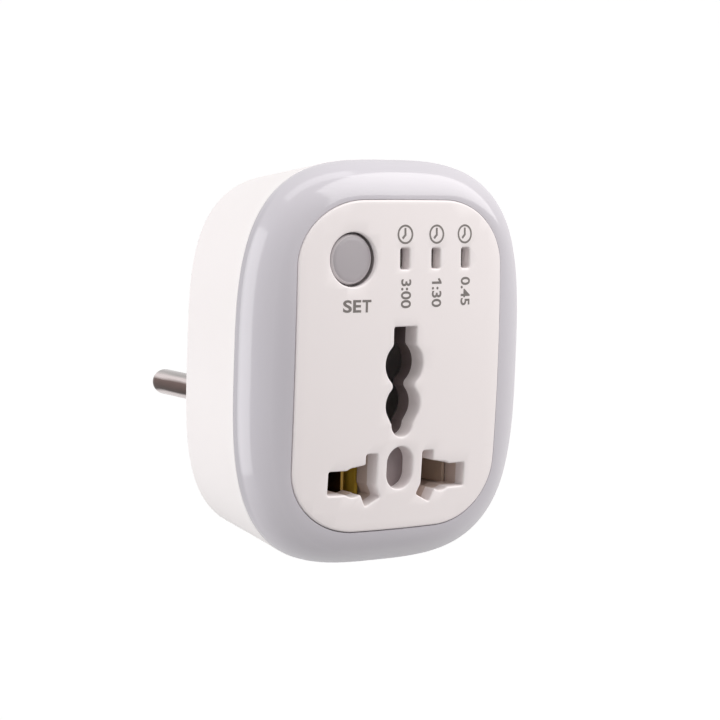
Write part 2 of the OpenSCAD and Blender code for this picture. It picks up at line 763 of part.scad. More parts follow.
// LEDs along the board's straight stretches, between the ring's skirt and its tongue
module night_leds() color([0.97, 0.94, 0.7]) {
  chip = [1.4, 1.1, 3];
  margin = shell_wall + tongue_t + 0.5;
  x = (panel_w + body_w) / 4 + (skirt_out - margin) / 2;
  z = (panel_h + body_h) / 4 + (skirt_out - margin) / 2;
  translate([0, y_led_board - chip[1] / 2, z_mid]) {
    for (side = [-1, 1]) for (step = [-1:1])
      translate([side * x, 0, step * side_led_pitch]) cube(chip, center = true);
    for (end = [-1, 1]) for (side = [-1, 1])
      translate([side * end_led_pitch / 2, 0, end * z]) cube([chip[2], chip[1], chip[0]], center = true);
  }
}

// Pins that carry the night-light's current from board to board
module board_links() color([0.8, 0.75, 0.6])
  both_sides() for (z = [3.8, 6.3])
    bar(board_half_w - 0.6, z_board_low + z, 0.8, y_led_board + led_board_t, y_board);

/* Parts on the back of the main board */

module relay() color([0.1, 0.25, 0.55])
  block([4, y_board_back, z_board_low + 0.5], [16.3, y_board_back + 10.1, z_board_low + 18.1]);

module film_capacitor() color([0.85, 0.75, 0.3]) {
  x = -4.4;
  z = z_mid + body_h / 2 - shell_wall - draft_end - 3.2;
  block([x - 13, y_board_back, z - 5.6], [x, y_shell_floor - 1.2, z]);
}

module electrolytic_capacitor() color([0.15, 0.15, 0.2])
  bar(-18, z_board_low + 7, 6.3, y_board_back, y_board_back + 9);

module varistor() color([0.15, 0.3, 0.65]) {
  x0 = -12.8;
  disc_d = 7;
  lift = 1.2;
  z = z_board_low + 1.7 + disc_d / 2;
  translate([x0, y_board_back + lift + disc_d / 2, z]) rotate([0, 90, 0]) cylinder(d = disc_d, h = 3.5);
  for (side = [-1, 1])
    bar(x0 + 1.75, z + side * 2.2, 0.6, y_board_back, y_board_back + lift + 1.5);
}

module bridge_rectifier() color([0.12, 0.12, 0.13])
  block([-5.6, y_board_back, z_board_low + 2.2], [-0.9, y_board_back + 2.5, z_board_low + 6.1]);

module fuse_resistor() color([0.35, 0.6, 0.45]) {
  z = z_board_low + 9;
  y = y_board_back + 1.8;
  body_d = 2.6;
  ends = [-8.4, 0.2];
  translate([-7.6, y, z]) rotate([0, 90, 0]) cylinder(d = body_d, h = 7);
  translate([ends[0], y, z]) rotate([0, 90, 0]) cylinder(d = 0.6, h = ends[1] - ends[0]);
  for (x = ends) bar(x, z, 0.6, y_board_back, y + 0.3);
}

/* Leads */

lead_d = 1.4;
y_run = y_core_rear + core_gap / 2;
y_tail = -boss_end_wall - pin_collar_t - pin_tail_len;
z_pad = z_board_low + 0.8;
z_tab = z_line + leaf_t / 2;
tail_step = 0.8;

module live_lead() color([0.5, 0.25, 0.15])
  lead([[-7, y_board_back, z_pad], [-7, y_board_back + 9, z_pad], [-7, y_run, z_pad],
        [-8, y_run, 10], [-x_pin, y_run + 2, 4], [-x_pin, y_tail - 5, 0], [-x_pin, y_tail, 0]], lead_d);

module neutral_lead() color([0.2, 0.35, 0.75]) {
  x = x_pin - tail_step;
  lead([[-1, y_board_back, z_pad], [-1, y_board_back + 9, z_pad], [-1, y_run, z_pad],
        [0, y_run, 11], [x, y_run + 2, 4], [x, y_tail - 5, 0], [x, y_tail, 0]], lead_d);
}

module switched_lead() color([0.5, 0.25, 0.15])
  lead([[-11, y_board_back, z_pad], [-11, y_board_back + 9, z_pad], [-11, y_run, z_pad],
        [-11.2, y_run, 8], [-tab_x, y_run, -3], [-tab_x, y_run, z_tab]], lead_d);

module outlet_lead() color([0.2, 0.35, 0.75]) {
  x = x_pin + tail_step;
  lead([[x, y_tail, 0], [x, y_tail - 3, 0], [x, y_run + 3, -1],
        [tab_x - 1, y_run, -4.5], [tab_x, y_run, -7], [tab_x, y_run, z_tab]], lead_d);
}

module housing_screws() color([0.7, 0.7, 0.72])
  for (p = SCREWS) {
    y_seat = y_back_face - recess_depth;
    bar(p[0], p[1], head_d, y_seat, y_seat + head_h);
    bar(p[0], p[1], screw_d, y_seat - screw_len, y_seat + head_h / 2);
  }

front_panel();
diffuser_ring();
rear_shell();
socket_core();
live_pin();
neutral_pin();
earth_strap();
live_contact();
neutral_contact();
earth_contact();
set_button();
push_switch();
switch_plunger();
main_board();
timer_chip();
indicator_lens();
indicator_leds();
led_board();
night_leds();
board_links();
relay();
film_capacitor();
electrolytic_capacitor();
varistor();
bridge_rectifier();
fuse_resistor();
live_lead();
neutral_lead();
switched_lead();
outlet_lead();
housing_screws();
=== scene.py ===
"""Dressed model of a plug-in countdown timer switch, built piece by piece on its frame."""

from math import atan2, cos, hypot, pi, radians, sin, sqrt, tau

import bmesh
import bpy
from bpy.props import FloatProperty, FloatVectorProperty, IntProperty, PointerProperty
from bpy.types import Operator, Panel, PropertyGroup
from mathutils import Matrix, Vector


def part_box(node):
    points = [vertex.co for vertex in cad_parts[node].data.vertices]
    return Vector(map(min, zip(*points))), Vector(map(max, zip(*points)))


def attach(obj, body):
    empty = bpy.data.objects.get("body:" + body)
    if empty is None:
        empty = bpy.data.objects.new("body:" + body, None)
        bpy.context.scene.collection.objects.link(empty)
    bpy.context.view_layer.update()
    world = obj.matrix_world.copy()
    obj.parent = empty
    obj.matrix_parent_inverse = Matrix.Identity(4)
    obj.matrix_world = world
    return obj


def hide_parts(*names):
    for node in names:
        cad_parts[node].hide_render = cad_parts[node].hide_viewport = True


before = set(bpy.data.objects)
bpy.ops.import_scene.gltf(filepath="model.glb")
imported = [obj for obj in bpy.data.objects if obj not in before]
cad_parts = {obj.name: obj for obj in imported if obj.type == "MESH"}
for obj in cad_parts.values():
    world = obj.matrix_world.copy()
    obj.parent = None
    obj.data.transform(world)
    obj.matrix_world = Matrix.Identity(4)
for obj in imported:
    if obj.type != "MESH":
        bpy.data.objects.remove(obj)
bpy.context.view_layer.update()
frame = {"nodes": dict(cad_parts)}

bl_info = {
    "name": "Countdown timer switch",
    "version": (1, 0, 0),
    "blender": (4, 5, 0),
    "location": "View3D > Sidebar > Timer",
    "description": "Models the moulded, plated and printed pieces of a plug-in timer",
    "category": "Object",
}

MM = 0.001

# Depths along Y, in mm from the plug's face. The seam line that shows lies a little ahead of
# the joint behind it.
Y_BACK = -20.0
Y_POSTS = -30.5
Y_SEAM = -38.0
Y_SEAM_LINE = -38.4
Y_PANEL_BACK = -43.3
Y_FRONT = -44.5

# Places across the front, in mm: the body's middle, the line holes, and (x, z) of the rest
Z_MID = 9.5
Z_LINE = -10.4
X_PIN = 9.5
BUTTON = (-11.1, 28.0)
WINDOWS = ((-0.45, 28.1), (6.35, 28.1), (13.15, 28.1))
SCREWS = ((-16.0, 14.1), (16.0, 14.1), (0.0, 33.2))

# Width and height that the panel's crown spans, in mm
PANEL_SIZE = (43.8, 57.3)

# Points round the panel, the ring and the shell
POINTS_ROUND = 192


def srgb(red, green, blue):
    """A colour written as on a screen, 0 to 255, turned into Blender's linear values."""
    return tuple(
        c / 12.92 if c <= 0.04045 else ((c + 0.055) / 1.055) ** 2.4
        for c in (red / 255, green / 255, blue / 255)
    )


def toned(colour, share, lift=0.0):
    """A colour made darker or paler."""
    return tuple(min(1.0, c * share + lift) for c in colour)


# ---------------------------------------------------------------- settings


def length_setting(name, description, value, low, high):
    """A length that can be set, given in mm."""
    return FloatProperty(
        name=name,
        description=description,
        default=value * MM,
        min=low * MM,
        max=high * MM,
        precision=5,
        unit="LENGTH",
    )


def colour_setting(name, description, *value):
    """A colour that can be set, given as on a screen."""
    return FloatVectorProperty(
        name=name, description=description, default=srgb(*value), subtype="COLOR", min=0.0, max=1.0
    )


class TimerSizes(PropertyGroup):
    rim_round: length_setting(
        "Rim rounding", "Rounding of the outlet holes' front rims", 0.32, 0.05, 0.5
    )
    edge_round: length_setting(
        "Panel edge rounding", "Rounding of the front panel's outer edge", 0.4, 0.1, 0.8
    )
    lip_round: length_setting(
        "Ring lip rounding", "Rounding of the ring where it meets the panel", 0.12, 0.05, 0.6
    )
    seam_round: length_setting(
        "Seam rounding", "Rounding of the seam between ring and rear shell", 0.18, 0.05, 0.4
    )
    button_dome: length_setting(
        "Button dome", "How far the button's middle stands above its edge", 0.14, 0.0, 0.3
    )
    print_height: length_setting(
        "Print height", "Height of the printed letters and digits", 2.15, 1.5, 3.0
    )
    icon_width: length_setting(
        "Clock icon width", "Width of the printed clock icons", 3.35, 2.0, 4.0
    )
    ink_thickness: length_setting(
        "Ink thickness", "How far the print stands on the panel", 0.02, 0.01, 0.1
    )
    crown_cell: length_setting(
        "Crown cell", "Distance between the cuts that let the panel curve", 2.4, 1.0, 5.0
    )
    nose_steps: IntProperty(
        name="Nose steps",
        description="Steps across the diffuser ring's rounded nose",
        default=18,
        min=6,
        max=40,
    )


class TimerColours(PropertyGroup):
    panel: colour_setting("Panel", "White plastic of the front panel", 243, 236, 236)
    shell: colour_setting("Rear shell", "White plastic of the rear shell", 247, 242, 242)
    ring: colour_setting("Diffuser", "Milky plastic of the diffuser ring", 202, 198, 205)
    button: colour_setting("Button", "Grey plastic of the button", 175, 169, 173)
    core: colour_setting("Socket core", "Grey plastic behind the outlet holes", 130, 117, 118)
    # Painted light: a pale copy of the core plastic for the walls of the line pockets.
    pocket_painted_light: colour_setting("Pocket lining", "Pale lining of the line pockets", 218, 202, 194)
    ink: colour_setting("Print", "Ink of the letters, digits and icons", 116, 110, 107)
    lens: colour_setting("Light pipes", "Smoky plastic of the windows", 98, 91, 89)
    nickel: colour_setting("Nickel", "Plating of the plug pins", 216, 205, 204)
    steel: colour_setting("Strap", "Plated spring strip of the earth clips", 205, 203, 200)
    brass: colour_setting("Brass", "Brass of the live and earth contacts", 178, 146, 78)
    # Painted light: a paler, barely metallic copy of the contact brass, so the neutral contact's
    # shaded face reads lit.
    lit_brass_copy: colour_setting("Bronze", "Dull bronze of the neutral contact", 228, 208, 190)


# ---------------------------------------------------------------- shapes


def crown(x, z):
    """Height of the front panel's crown above the plane of its corners; z from its middle."""
    wide, high = PANEL_SIZE
    return 1.34 * (1 - (2 * x / wide) ** 2) + 0.96 * (1 - (2 * z / high) ** 2)


def front_at(x, z):
    """Depth of the crowned front at a place on the panel."""
    return Y_FRONT - crown(x, z - Z_MID)


def body_radius(angle, inset=0.0, lean=0.0):
    """Distance from the middle to the body's outline; lean runs from 0 at the seam to 1."""
    half_w = 29.9 - inset - lean * 1.5
    half_h = 35.35 - inset - lean * 3.0
    power = 3.2 + lean * 0.35
    c, s = abs(cos(angle)) / half_w, abs(sin(angle)) / half_h
    return (c**power + s**power) ** (-1 / power)


def panel_radius(angle, inset=0.0):
    """Distance from the middle to the panel's outline, whose sides bow out a little."""
    half_w, half_h = 21.64 - inset, 28.4 - inset
    round_w, round_h = 13.0 - inset, 11.2 - inset
    c, s = max(abs(cos(angle)), 1e-6), max(abs(sin(angle)), 1e-6)
    reach = min(half_w / c, half_h / s)
    mid_w, mid_h = half_w - round_w, half_h - round_h
    if reach * c > mid_w and reach * s > mid_h:
        p = (c / round_w) ** 2 + (s / round_h) ** 2
        q = c * mid_w / round_w**2 + s * mid_h / round_h**2
        k = (mid_w / round_w) ** 2 + (mid_h / round_h) ** 2 - 1
        reach = (q + sqrt(q * q - p * k)) / p
    bow_w = 0.0150 * max(0.0, 1 - (reach * s / half_h) ** 2)
    bow_h = 0.0112 * max(0.0, 1 - (reach * c / half_w) ** 2)
    return reach * (1 + bow_w + bow_h)


def polar(radius, angle, y):
    """Point at a distance and an angle round the panel's middle, in metres."""
    return Vector((radius * cos(angle), y, Z_MID + radius * sin(angle))) * MM


def level_ring(y, outline, *trims):
    """An outline at one depth, as a rule that gives its point at each angle."""
    return lambda angle: polar(outline(angle, *trims), angle, y)


def arc(x, z, radius, start, end, steps):
    """Points of an arc, with the angles in degrees."""
    turn = [radians(start + (end - start) * i / steps) for i in range(steps + 1)]
    return [(x + radius * cos(t), z + radius * sin(t)) for t in turn]


def sweep(start, pull, end, steps):
    """Points of a smooth curve from start to end, drawn towards pull; start is left out."""
    points = []
    for t in [i / steps for i in range(1, steps + 1)]:
        p, q, r = (1 - t) ** 2, 2 * t * (1 - t), t * t
        points.append(tuple(p * a + q * b + r * c for a, b, c in zip(start, pull, end)))
    return points


def line_hole_outline(side):
    """One side's line hole: flat pin slot, round hole, upright and slanted blades."""
    radius, half_slot, x_end = 2.6, 2.1, 14.75
    x_blade, x_step, z_step, z_top = 4.85, 7.3, 2.95, 4.8
    lean, blade, half_blade = radians(27), 4.8, 1.7
    foot_x, foot_z = 5.4, -3.65
    run, rise = blade * sin(lean), blade * cos(lean)
    left = (foot_x - half_blade * cos(lean), foot_z + half_blade * sin(lean))
    right = (foot_x + half_blade * cos(lean), foot_z - half_blade * sin(lean))
    up = (x_blade - left[0]) / run
    # Where the slanted blade's right side runs into the round hole
    a, b = run * run + rise * rise, 2 * ((right[0] - X_PIN) * run + right[1] * rise)
    c = (right[0] - X_PIN) ** 2 + right[1] ** 2 - radius**2
    meet = (-b - sqrt(b * b - 4 * a * c)) / (2 * a)
    start = atan2(right[1] + rise * meet, right[0] + run * meet - X_PIN) * 180 / pi
    high = atan2(half_slot, sqrt(radius**2 - half_slot**2)) * 180 / pi
    points = [(x_end, -half_slot), (x_end, half_slot)]
    points += arc(X_PIN, 0, radius, high, 90, 6)
    points += [(x_step, z_step), (x_step, z_top), (x_blade, z_top)]
    points += [(x_blade, left[1] + rise * up), left, right]
    points += arc(X_PIN, 0, radius, start, -high, 8)
    return [(side * x, Z_LINE + z) for x, z in points][::side]


def earth_hole_outline():
    """The earth slot: a flat top, two lobes and a narrow round foot."""
    foot, low, high, half_slot, z_top = 2.3, 3.7, 4.05, 2.45, 26.75
    half = arc(0, 9.8, foot, -90, 0, 8)
    half += arc(0, 13.1, low, -26, 42, 10)
    half += sweep(half[-1], (1.942, 16.473), (2.762, 17.238), 5)
    half += arc(0, 20.2, high, -47, 46, 14)[1:]
    half += sweep(half[-1], (half_slot, 23.464), (half_slot, 23.97), 4)
    half += [(half_slot, z_top)]
    points = half + [(-x, z) for x, z in half[:0:-1]]
    return [(x, Z_LINE + z) for x, z in points]


def oval_hole_outline():
    radius, z_low, z_high = 2.8, 1.1, 3.0
    points = arc(0, z_high, radius, 0, 180, 20) + arc(0, z_low, radius, 180, 360, 20)
    return [(x, Z_LINE + z) for x, z in points]


def box_outline(x, z, width, height):
    return [
        (x + i * width / 2, z + j * height / 2) for i, j in ((-1, -1), (1, -1), (1, 1), (-1, 1))
    ]


def turns_of(outline):
    """The bend at each point of a closed outline, above 0 where the outline bulges out."""
    area, turns = 0.0, []
    for (x0, z0), (x, z), (x1, z1) in zip(
        [outline[-1], *outline[:-1]], outline, [*outline[1:], outline[0]]
    ):
        area += x * z1 - x1 * z
        ax, az, bx, bz = x - x0, z - z0, x1 - x, z1 - z
        turns.append(atan2(ax * bz - az * bx, ax * bx + az * bz))
    return turns if area > 0 else [-turn for turn in turns]


# ---------------------------------------------------------------- modelling by hand


def nothing_selected():
    if bpy.context.object and bpy.context.object.mode != "OBJECT":
        bpy.ops.object.mode_set(mode="OBJECT")
    bpy.ops.object.select_all(action="DESELECT")


def hold(piece):
    """Makes the piece the only selected object and the active one."""
    nothing_selected()
    piece.select_set(True)
    bpy.context.view_layer.objects.active = piece


def named(name):
    """Names the object that was just added, and its data."""
    piece = bpy.context.object
    piece.name = piece.data.name = name
    return piece


def apply_place():
    bpy.ops.object.transform_apply(location=True, rotation=True, scale=True)


def edit(piece, kind="VERT", action="DESELECT"):
    """Opens the piece in edit mode, with everything or nothing selected."""
    hold(piece)
    bpy.ops.object.mode_set(mode="EDIT")
    bpy.ops.mesh.select_mode(type=kind)
    bpy.ops.mesh.select_all(action=action)


def close():
    bpy.ops.object.mode_set(mode="OBJECT")


def close_outward(merge=0.0):
    """Merges doubles if a distance is given, turns the faces outward and ends edit mode."""
    bpy.ops.mesh.select_all(action="SELECT")
    if merge:
        bpy.ops.mesh.remove_doubles(threshold=merge)
    bpy.ops.mesh.normals_make_consistent(inside=False)
    close()


def extrude(*by):
    """In edit mode, extrudes what is selected by a distance in mm."""
    bpy.ops.mesh.extrude_region_move(TRANSFORM_OT_translate={"value": [d * MM for d in by]})


def pick(piece, kind, test):
    """In edit mode, selects the points, edges or faces that pass the test."""
    bpy.ops.mesh.select_mode(type=kind)
    bpy.ops.mesh.select_all(action="DESELECT")
    shape = bmesh.from_edit_mesh(piece.data)
    shape.normal_update()
    items = {"VERT": shape.verts, "EDGE": shape.edges, "FACE": shape.faces}[kind]
    chosen = [item for item in items if test(item)]
    for item in chosen:
        item.select_set(True)
    bmesh.update_edit_mesh(piece.data)
    if not chosen:
        raise RuntimeError(f"nothing was picked on {piece.name}")


def start_circle(name, count, fill="NOTHING"):
    """A circle facing the front, as the start of a piece."""
    nothing_selected()
    bpy.ops.mesh.primitive_circle_add(
        vertices=count, radius=0.02, fill_type=fill, location=(0, 0, 0), rotation=(pi / 2, 0, 0)
    )
    apply_place()
    return named(name)


def lay_ring(piece, place):
    """Lays the selected points on an outline; place(angle) gives the point."""
    shape = bmesh.from_edit_mesh(piece.data)
    for point in shape.verts:
        if point.select:
            point.co = place(atan2(point.co.z - Z_MID * MM, point.co.x))
    bmesh.update_edit_mesh(piece.data)


def lofted(name, places, capped):
    """A skin over rings: a circle is extruded ring by ring, each laid on its outline."""
    piece = start_circle(name, POINTS_ROUND)
    for point in piece.data.vertices:
        point.co.z += Z_MID * MM
    edit(piece, "VERT", "SELECT")
    lay_ring(piece, places[0])
    for place in places[1:]:
        bpy.ops.mesh.extrude_region_move()
        lay_ring(piece, place)
    if capped:
        bpy.ops.mesh.edge_face_add()
        pick(piece, "EDGE", lambda e: len(e.link_faces) == 1)
        bpy.ops.mesh.edge_face_add()
    close_outward(0.0 if capped else 1e-7)
    return piece


def prism(outline, y0, y1, rounding=0.0, inner_rounding=0.0):
    """A flat outline of (x, z) points, its sharp corners rounded, extruded along Y."""
    points = [Vector((x, y0, z)) * MM for x, z in outline]
    piece = start_circle("prism", len(points), "NGON")
    for point, place in zip(piece.data.vertices, points):
        point.co = place
    edit(piece, "VERT")
    for outward, size in ((1, rounding), (-1, inner_rounding)):
        chosen = [p for p, t in zip(points, turns_of(outline)) if t * outward > radians(28)]
        if size and chosen:
            pick(piece, "VERT", lambda p: any((p.co - c).length < 1e-7 for c in chosen))
            bpy.ops.mesh.bevel(
                offset=size * MM, offset_type="OFFSET", affect="VERTICES", segments=4
            )
    bpy.ops.mesh.select_mode(type="FACE")
    bpy.ops.mesh.select_all(action="SELECT")
    extrude(0, y1 - y0, 0)
    close_outward()
    return piece


def turned(name, profile, steps, x=0.0, z=0.0):
    """A shape spun about an axis along Y, from a profile of (radius, y) points."""
    nothing_selected()
    bpy.ops.mesh.primitive_plane_add(size=0.001, location=(0, 0, 0))
    piece = named(name)
    edit(piece, "VERT", "SELECT")
    bpy.ops.mesh.merge(type="CENTER")
    shape = bmesh.from_edit_mesh(piece.data)
    here = Vector((x + profile[0][0], profile[0][1], z)) * MM
    for point in shape.verts:
        point.co = here
        point.select_set(True)
    bmesh.update_edit_mesh(piece.data)
    for radius, y in profile[1:]:
        there = Vector((x + radius, y, z)) * MM
        bpy.ops.mesh.extrude_vertices_move(TRANSFORM_OT_translate={"value": there - here})
        here = there
    bpy.ops.mesh.select_all(action="SELECT")
    bpy.ops.mesh.spin(
        steps=steps, angle=tau, center=(x * MM, 0, z * MM), axis=(0, 1, 0), dupli=False
    )
    close_outward(2e-6)
    return piece


def bar(x, z, diameter, y0, y1, steps=48):
    return prism(arc(x, z, diameter / 2, 0, 360 - 360 / steps, steps - 1), y0, y1)


def block(low, high, name="block"):
    """A box between two corners, from a cube that is scaled and moved in edit mode."""
    nothing_selected()
    middle = [(a + b) / 2 * MM for a, b in zip(low, high)]
    bpy.ops.mesh.primitive_cube_add(size=1, location=middle)
    piece = named(name)
    piece.scale = [(b - a) * MM for a, b in zip(low, high)]
    apply_place()
    return piece


def apply_modifier(piece, name, kind, **values):
    change = piece.modifiers.new(name, kind)
    for key, value in values.items():
        setattr(change, key, value)
    bpy.ops.object.modifier_apply(modifier=change.name)


def combine(piece, tools, operation):
    for tool in tools:
        hold(piece)
        apply_modifier(
            piece, "Tool", "BOOLEAN", operation=operation, solver="EXACT", object=tool
        )
        bpy.data.objects.remove(tool, do_unlink=True)


def cut(piece, *tools):
    """Cuts the tools out of the piece, one by one."""
    combine(piece, tools, "DIFFERENCE")


def weld(piece, *parts):
    """Joins closed parts on to the piece, one by one."""
    combine(piece, parts, "UNION")


def round_edges(piece, width, segments, test):
    """Bevels the edges that pass the test; the width is in metres, as the settings are."""
    edit(piece)
    pick(piece, "EDGE", test)
    bpy.ops.mesh.bevel(
        offset=width, offset_type="OFFSET", segments=segments, affect="EDGES", clamp_overlap=False
    )
    close()


def bend_of(edge):
    faces = edge.link_faces
    return faces[0].normal.angle(faces[1].normal, 0.0) if len(faces) == 2 else 0.0


def middle_of(edge):
    """The place of an edge's middle on the front, in mm."""
    middle = (edge.verts[0].co + edge.verts[1].co) / 2
    return middle.x / MM, middle.z / MM


def rim_at(y):
    """Test for the sharply bent edges that lie all at one depth."""

    def test(edge):
        level = all(abs(p.co.y - y * MM) < 1e-6 for p in edge.verts)
        return level and bend_of(edge) > radians(40)

    return test


def joined(name, parts):
    """Several closed shells kept as one piece."""
    nothing_selected()
    for part in parts:
        part.select_set(True)
    bpy.context.view_layer.objects.active = parts[0]
    bpy.ops.object.join()
    return named(name)


def moved_copy(piece, x, z=0.0, name="copy"):
    """A copy with its own mesh, moved by a distance in mm."""
    hold(piece)
    bpy.ops.object.duplicate()
    twin = named(name)
    edit(twin, "VERT", "SELECT")
    bpy.ops.transform.translate(value=(x * MM, 0, z * MM))
    close()
    return twin


def finish_piece(
    piece, finish, stands_for=(), smooth=35, body="body", even_flats=False
):
    """Settles a piece at the origin, with its shading, its finish and its body."""
    hold(piece)
    apply_place()
    if smooth:
        bpy.ops.object.shade_smooth_by_angle(angle=radians(smooth))
    if even_flats:
        apply_modifier(piece, "Even flats", "WEIGHTED_NORMAL", keep_sharp=True)
    dress(piece, finish)
    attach(piece, body)
    if stands_for:
        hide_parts(*stands_for)


def dress(piece, finish):
    piece.data.materials.clear()
    piece.data.materials.append(finish.material)


# ---------------------------------------------------------------- finishes


class Nodes:
    """A node tree being laid out, with short ways to add a node and to join sockets."""

    def __init__(self, tree):
        self.tree = tree

    def add(self, kind, inputs=None, **settings):
        node = self.tree.nodes.new(kind)
        for key, value in settings.items():
            setattr(node, key, value)
        for key, value in (inputs or {}).items():
            if isinstance(value, bpy.types.NodeSocket):
                self.tree.links.new(value, node.inputs[key])
            else:
                node.inputs[key].default_value = value
        return node

    def math(self, operation, *values):
        return self.add("ShaderNodeMath", dict(enumerate(values)), operation=operation).outputs[0]

    def vector(self, operation, *values):
        return self.add(
            "ShaderNodeVectorMath", dict(enumerate(values)), operation=operation
        ).outputs

    def split(self, vector):
        return self.add("ShaderNodeSeparateXYZ", {0: vector}).outputs

    def noise(self, vector, scale, detail, roughness=0.5):
        inputs = {"Vector": vector, "Scale": scale, "Detail": detail, "Roughness": roughness}
        return self.add("ShaderNodeTexNoise", inputs).outputs["Fac"]

    def blend(self, share, a, b):
        a, b = (v if isinstance(v, bpy.types.NodeSocket) else (*v, 1) for v in (a, b))
        return self.add("ShaderNodeMix", {0: share, 6: a, 7: b}, data_type="RGBA").outputs[2]

    def remap(self, value, low, high, new_low=0.0, new_high=1.0):
        inputs = {"Value": value, 1: low, 2: high, 3: new_low, 4: new_high}
        return self.add("ShaderNodeMapRange", inputs).outputs[0]

    def fade(self, place, start, end, first=0.0, last=1.0):
        """A change between two places, which are given in mm."""
        return self.remap(place, start * MM, end * MM, first, last)


class Finish(Nodes):
    """A material's nodes, with its Principled shader and its Object coordinates."""

    def __init__(self, name, plain):
        self.material = bpy.data.materials.new(name)
        self.material.use_nodes = True
        super().__init__(self.material.node_tree)
        self.tree.nodes.clear()
        self.surface = self.add("ShaderNodeBsdfPrincipled", plain)
        self.add("ShaderNodeOutputMaterial", {"Surface": self.surface.outputs[0]})
        self.where = self.add("ShaderNodeTexCoord").outputs["Object"]

    def group(self, name, **inputs):
        """Places a shared group on the Object coordinates."""
        if name not in bpy.data.node_groups:
            GROUPS[name](name)
        inputs = {"Vector": self.where, **inputs}
        return self.add("ShaderNodeGroup", inputs, node_tree=bpy.data.node_groups[name]).outputs

    def feed(self, socket, value):
        self.tree.links.new(value, self.surface.inputs[socket])

    def tone(self):
        """What feeds the shader's colour so far."""
        return self.surface.inputs["Base Color"].links[0].from_socket

    def relief(self, strength, depth, height):
        inputs = {"Strength": strength, "Distance": depth * MM, "Height": height}
        self.feed("Normal", self.add("ShaderNodeBump", inputs).outputs[0])


def new_group(name, inputs, outputs):
    """An empty shader node group; an input's kind follows from its starting value."""
    tree = bpy.data.node_groups.new(name, "ShaderNodeTree")
    kinds = {0: "NodeSocketFloat", 3: "NodeSocketVector", 4: "NodeSocketColor"}
    for label, value in {"Vector": (0.0, 0.0, 0.0), **inputs}.items():
        kind = kinds[len(value) if isinstance(value, tuple) else 0]
        tree.interface.new_socket(label, in_out="INPUT", socket_type=kind).default_value = value
    for label, kind in outputs.items():
        tree.interface.new_socket(label, in_out="OUTPUT", socket_type=kind)
    nodes = Nodes(tree)
    return nodes, nodes.add("NodeGroupInput").outputs


def mould_grain(name):
    """The fine texture that a spark-eroded mould leaves on plastic."""
    nodes, given = new_group(
        name,
        {"Scale": 3000.0, "Flow": 0.3},
        {"Height": "NodeSocketFloat", "Shine": "NodeSocketFloat"},
    )
    fine = nodes.noise(given["Vector"], given["Scale"], 2.0, 0.6)
    slow = nodes.noise(given["Vector"], nodes.math("MULTIPLY", given["Scale"], 0.035), 3.0)
    height = nodes.math("MULTIPLY_ADD", slow, given["Flow"], fine)
    shine = nodes.remap(slow, 0.3, 0.7, -1.0, 1.0)
    nodes.add("NodeGroupOutput", {"Height": height, "Shine": shine})


def edge_wear_and_sheen(name):
    """A mask of the edges: moulding and handling leave them smoother, and a painted highlight makes
    them paler.
    """
    nodes, given = new_group(name, {"Breakup": 400.0}, {"Mask": "NodeSocketFloat"})
    curve = nodes.add("ShaderNodeNewGeometry").outputs["Pointiness"]
    patch = nodes.remap(nodes.noise(given["Vector"], given["Breakup"], 2.0), 0.3, 0.6, 0.4, 1.0)
    mask = nodes.math("MULTIPLY", nodes.remap(curve, 0.51, 0.58), patch)
    nodes.add("NodeGroupOutput", {"Mask": mask})


def tone_drift(name):
    """Slow changes of tone through moulded plastic, and a trace of dust on what faces up."""
    nodes, given = new_group(
        name,
        {"Color": (0.8, 0.8, 0.8, 1.0), "Drift": 0.03, "Dust": 0.02},
        {"Color": "NodeSocketColor"},
    )
    slow = nodes.remap(nodes.noise(given["Vector"], 55.0, 3.0, 0.55), 0.3, 0.7)
    warm = nodes.blend(
        nodes.math("MULTIPLY", slow, given["Drift"]), given["Color"], (0.62, 0.55, 0.5)
    )
    speck = nodes.remap(nodes.noise(given["Vector"], 2600.0, 1.0), 0.52, 0.68)
    facing = nodes.split(nodes.add("ShaderNodeNewGeometry").outputs["Normal"])
    lying = nodes.math("MULTIPLY", nodes.remap(facing["Z"], 0.5, 1.0), given["Dust"])
    dusty = nodes.blend(nodes.math("MULTIPLY", lying, speck), warm, (0.45, 0.42, 0.4))
    nodes.add("NodeGroupOutput", {"Color": dusty})


def drawn_lines(name):
    """Fine lines along one direction, as turning, drawing or brushing leaves on metal."""
    nodes, given = new_group(
        name,
        {"Stretch": (1.0, 1.0, 1.0), "Scale": 2500.0},
        {"Height": "NodeSocketFloat", "Shine": "NodeSocketFloat"},
    )
    run = nodes.vector("MULTIPLY", given["Vector"], given["Stretch"])[0]
    patch = nodes.noise(given["Vector"], 260.0, 3.0)
    outputs = {
        "Height": nodes.noise(run, given["Scale"], 3.0),
        "Shine": nodes.remap(patch, 0.3, 0.7, -1.0, 1.0),
    }
    nodes.add("NodeGroupOutput", outputs)


GROUPS = {
    "Mould grain": mould_grain,
    "Rubbed edges": edge_wear_and_sheen,
    "Tone drift": tone_drift,
    "Drawn lines": drawn_lines,
}


def moulded_plastic(
    name, colour, roughness, grain=3000.0, depth=0.012, drift=0.03, dust=0.0, edge=0.35, plain=None
):
    """Moulded plastic: mould grain, slow tone drift, and paler edges that are partly rubbed wear
    and partly a painted highlight.
    """
    finish = Finish(name, {"IOR": 1.5, **(plain or {})})
    relief = finish.group("Mould grain", Scale=grain)
    tone = finish.group("Tone drift", Color=(*colour, 1), Drift=drift, Dust=dust)["Color"]
    edge_wear_and_sheen_mask = finish.group("Rubbed edges")["Mask"]
    pale = toned(colour, 1.12, 0.02)
    # Paler edges: partly rubbed wear, partly a painted highlight.
    finish.feed("Base Color", finish.blend(finish.math("MULTIPLY", edge_wear_and_sheen_mask, edge), tone, pale))
    shine = finish.math("MULTIPLY_ADD", relief["Shine"], 0.05, roughness)
    finish.feed("Roughness", finish.math("MULTIPLY_ADD", edge_wear_and_sheen_mask, -0.12, shine))
    finish.relief(0.35, depth, relief["Height"])
    return finish


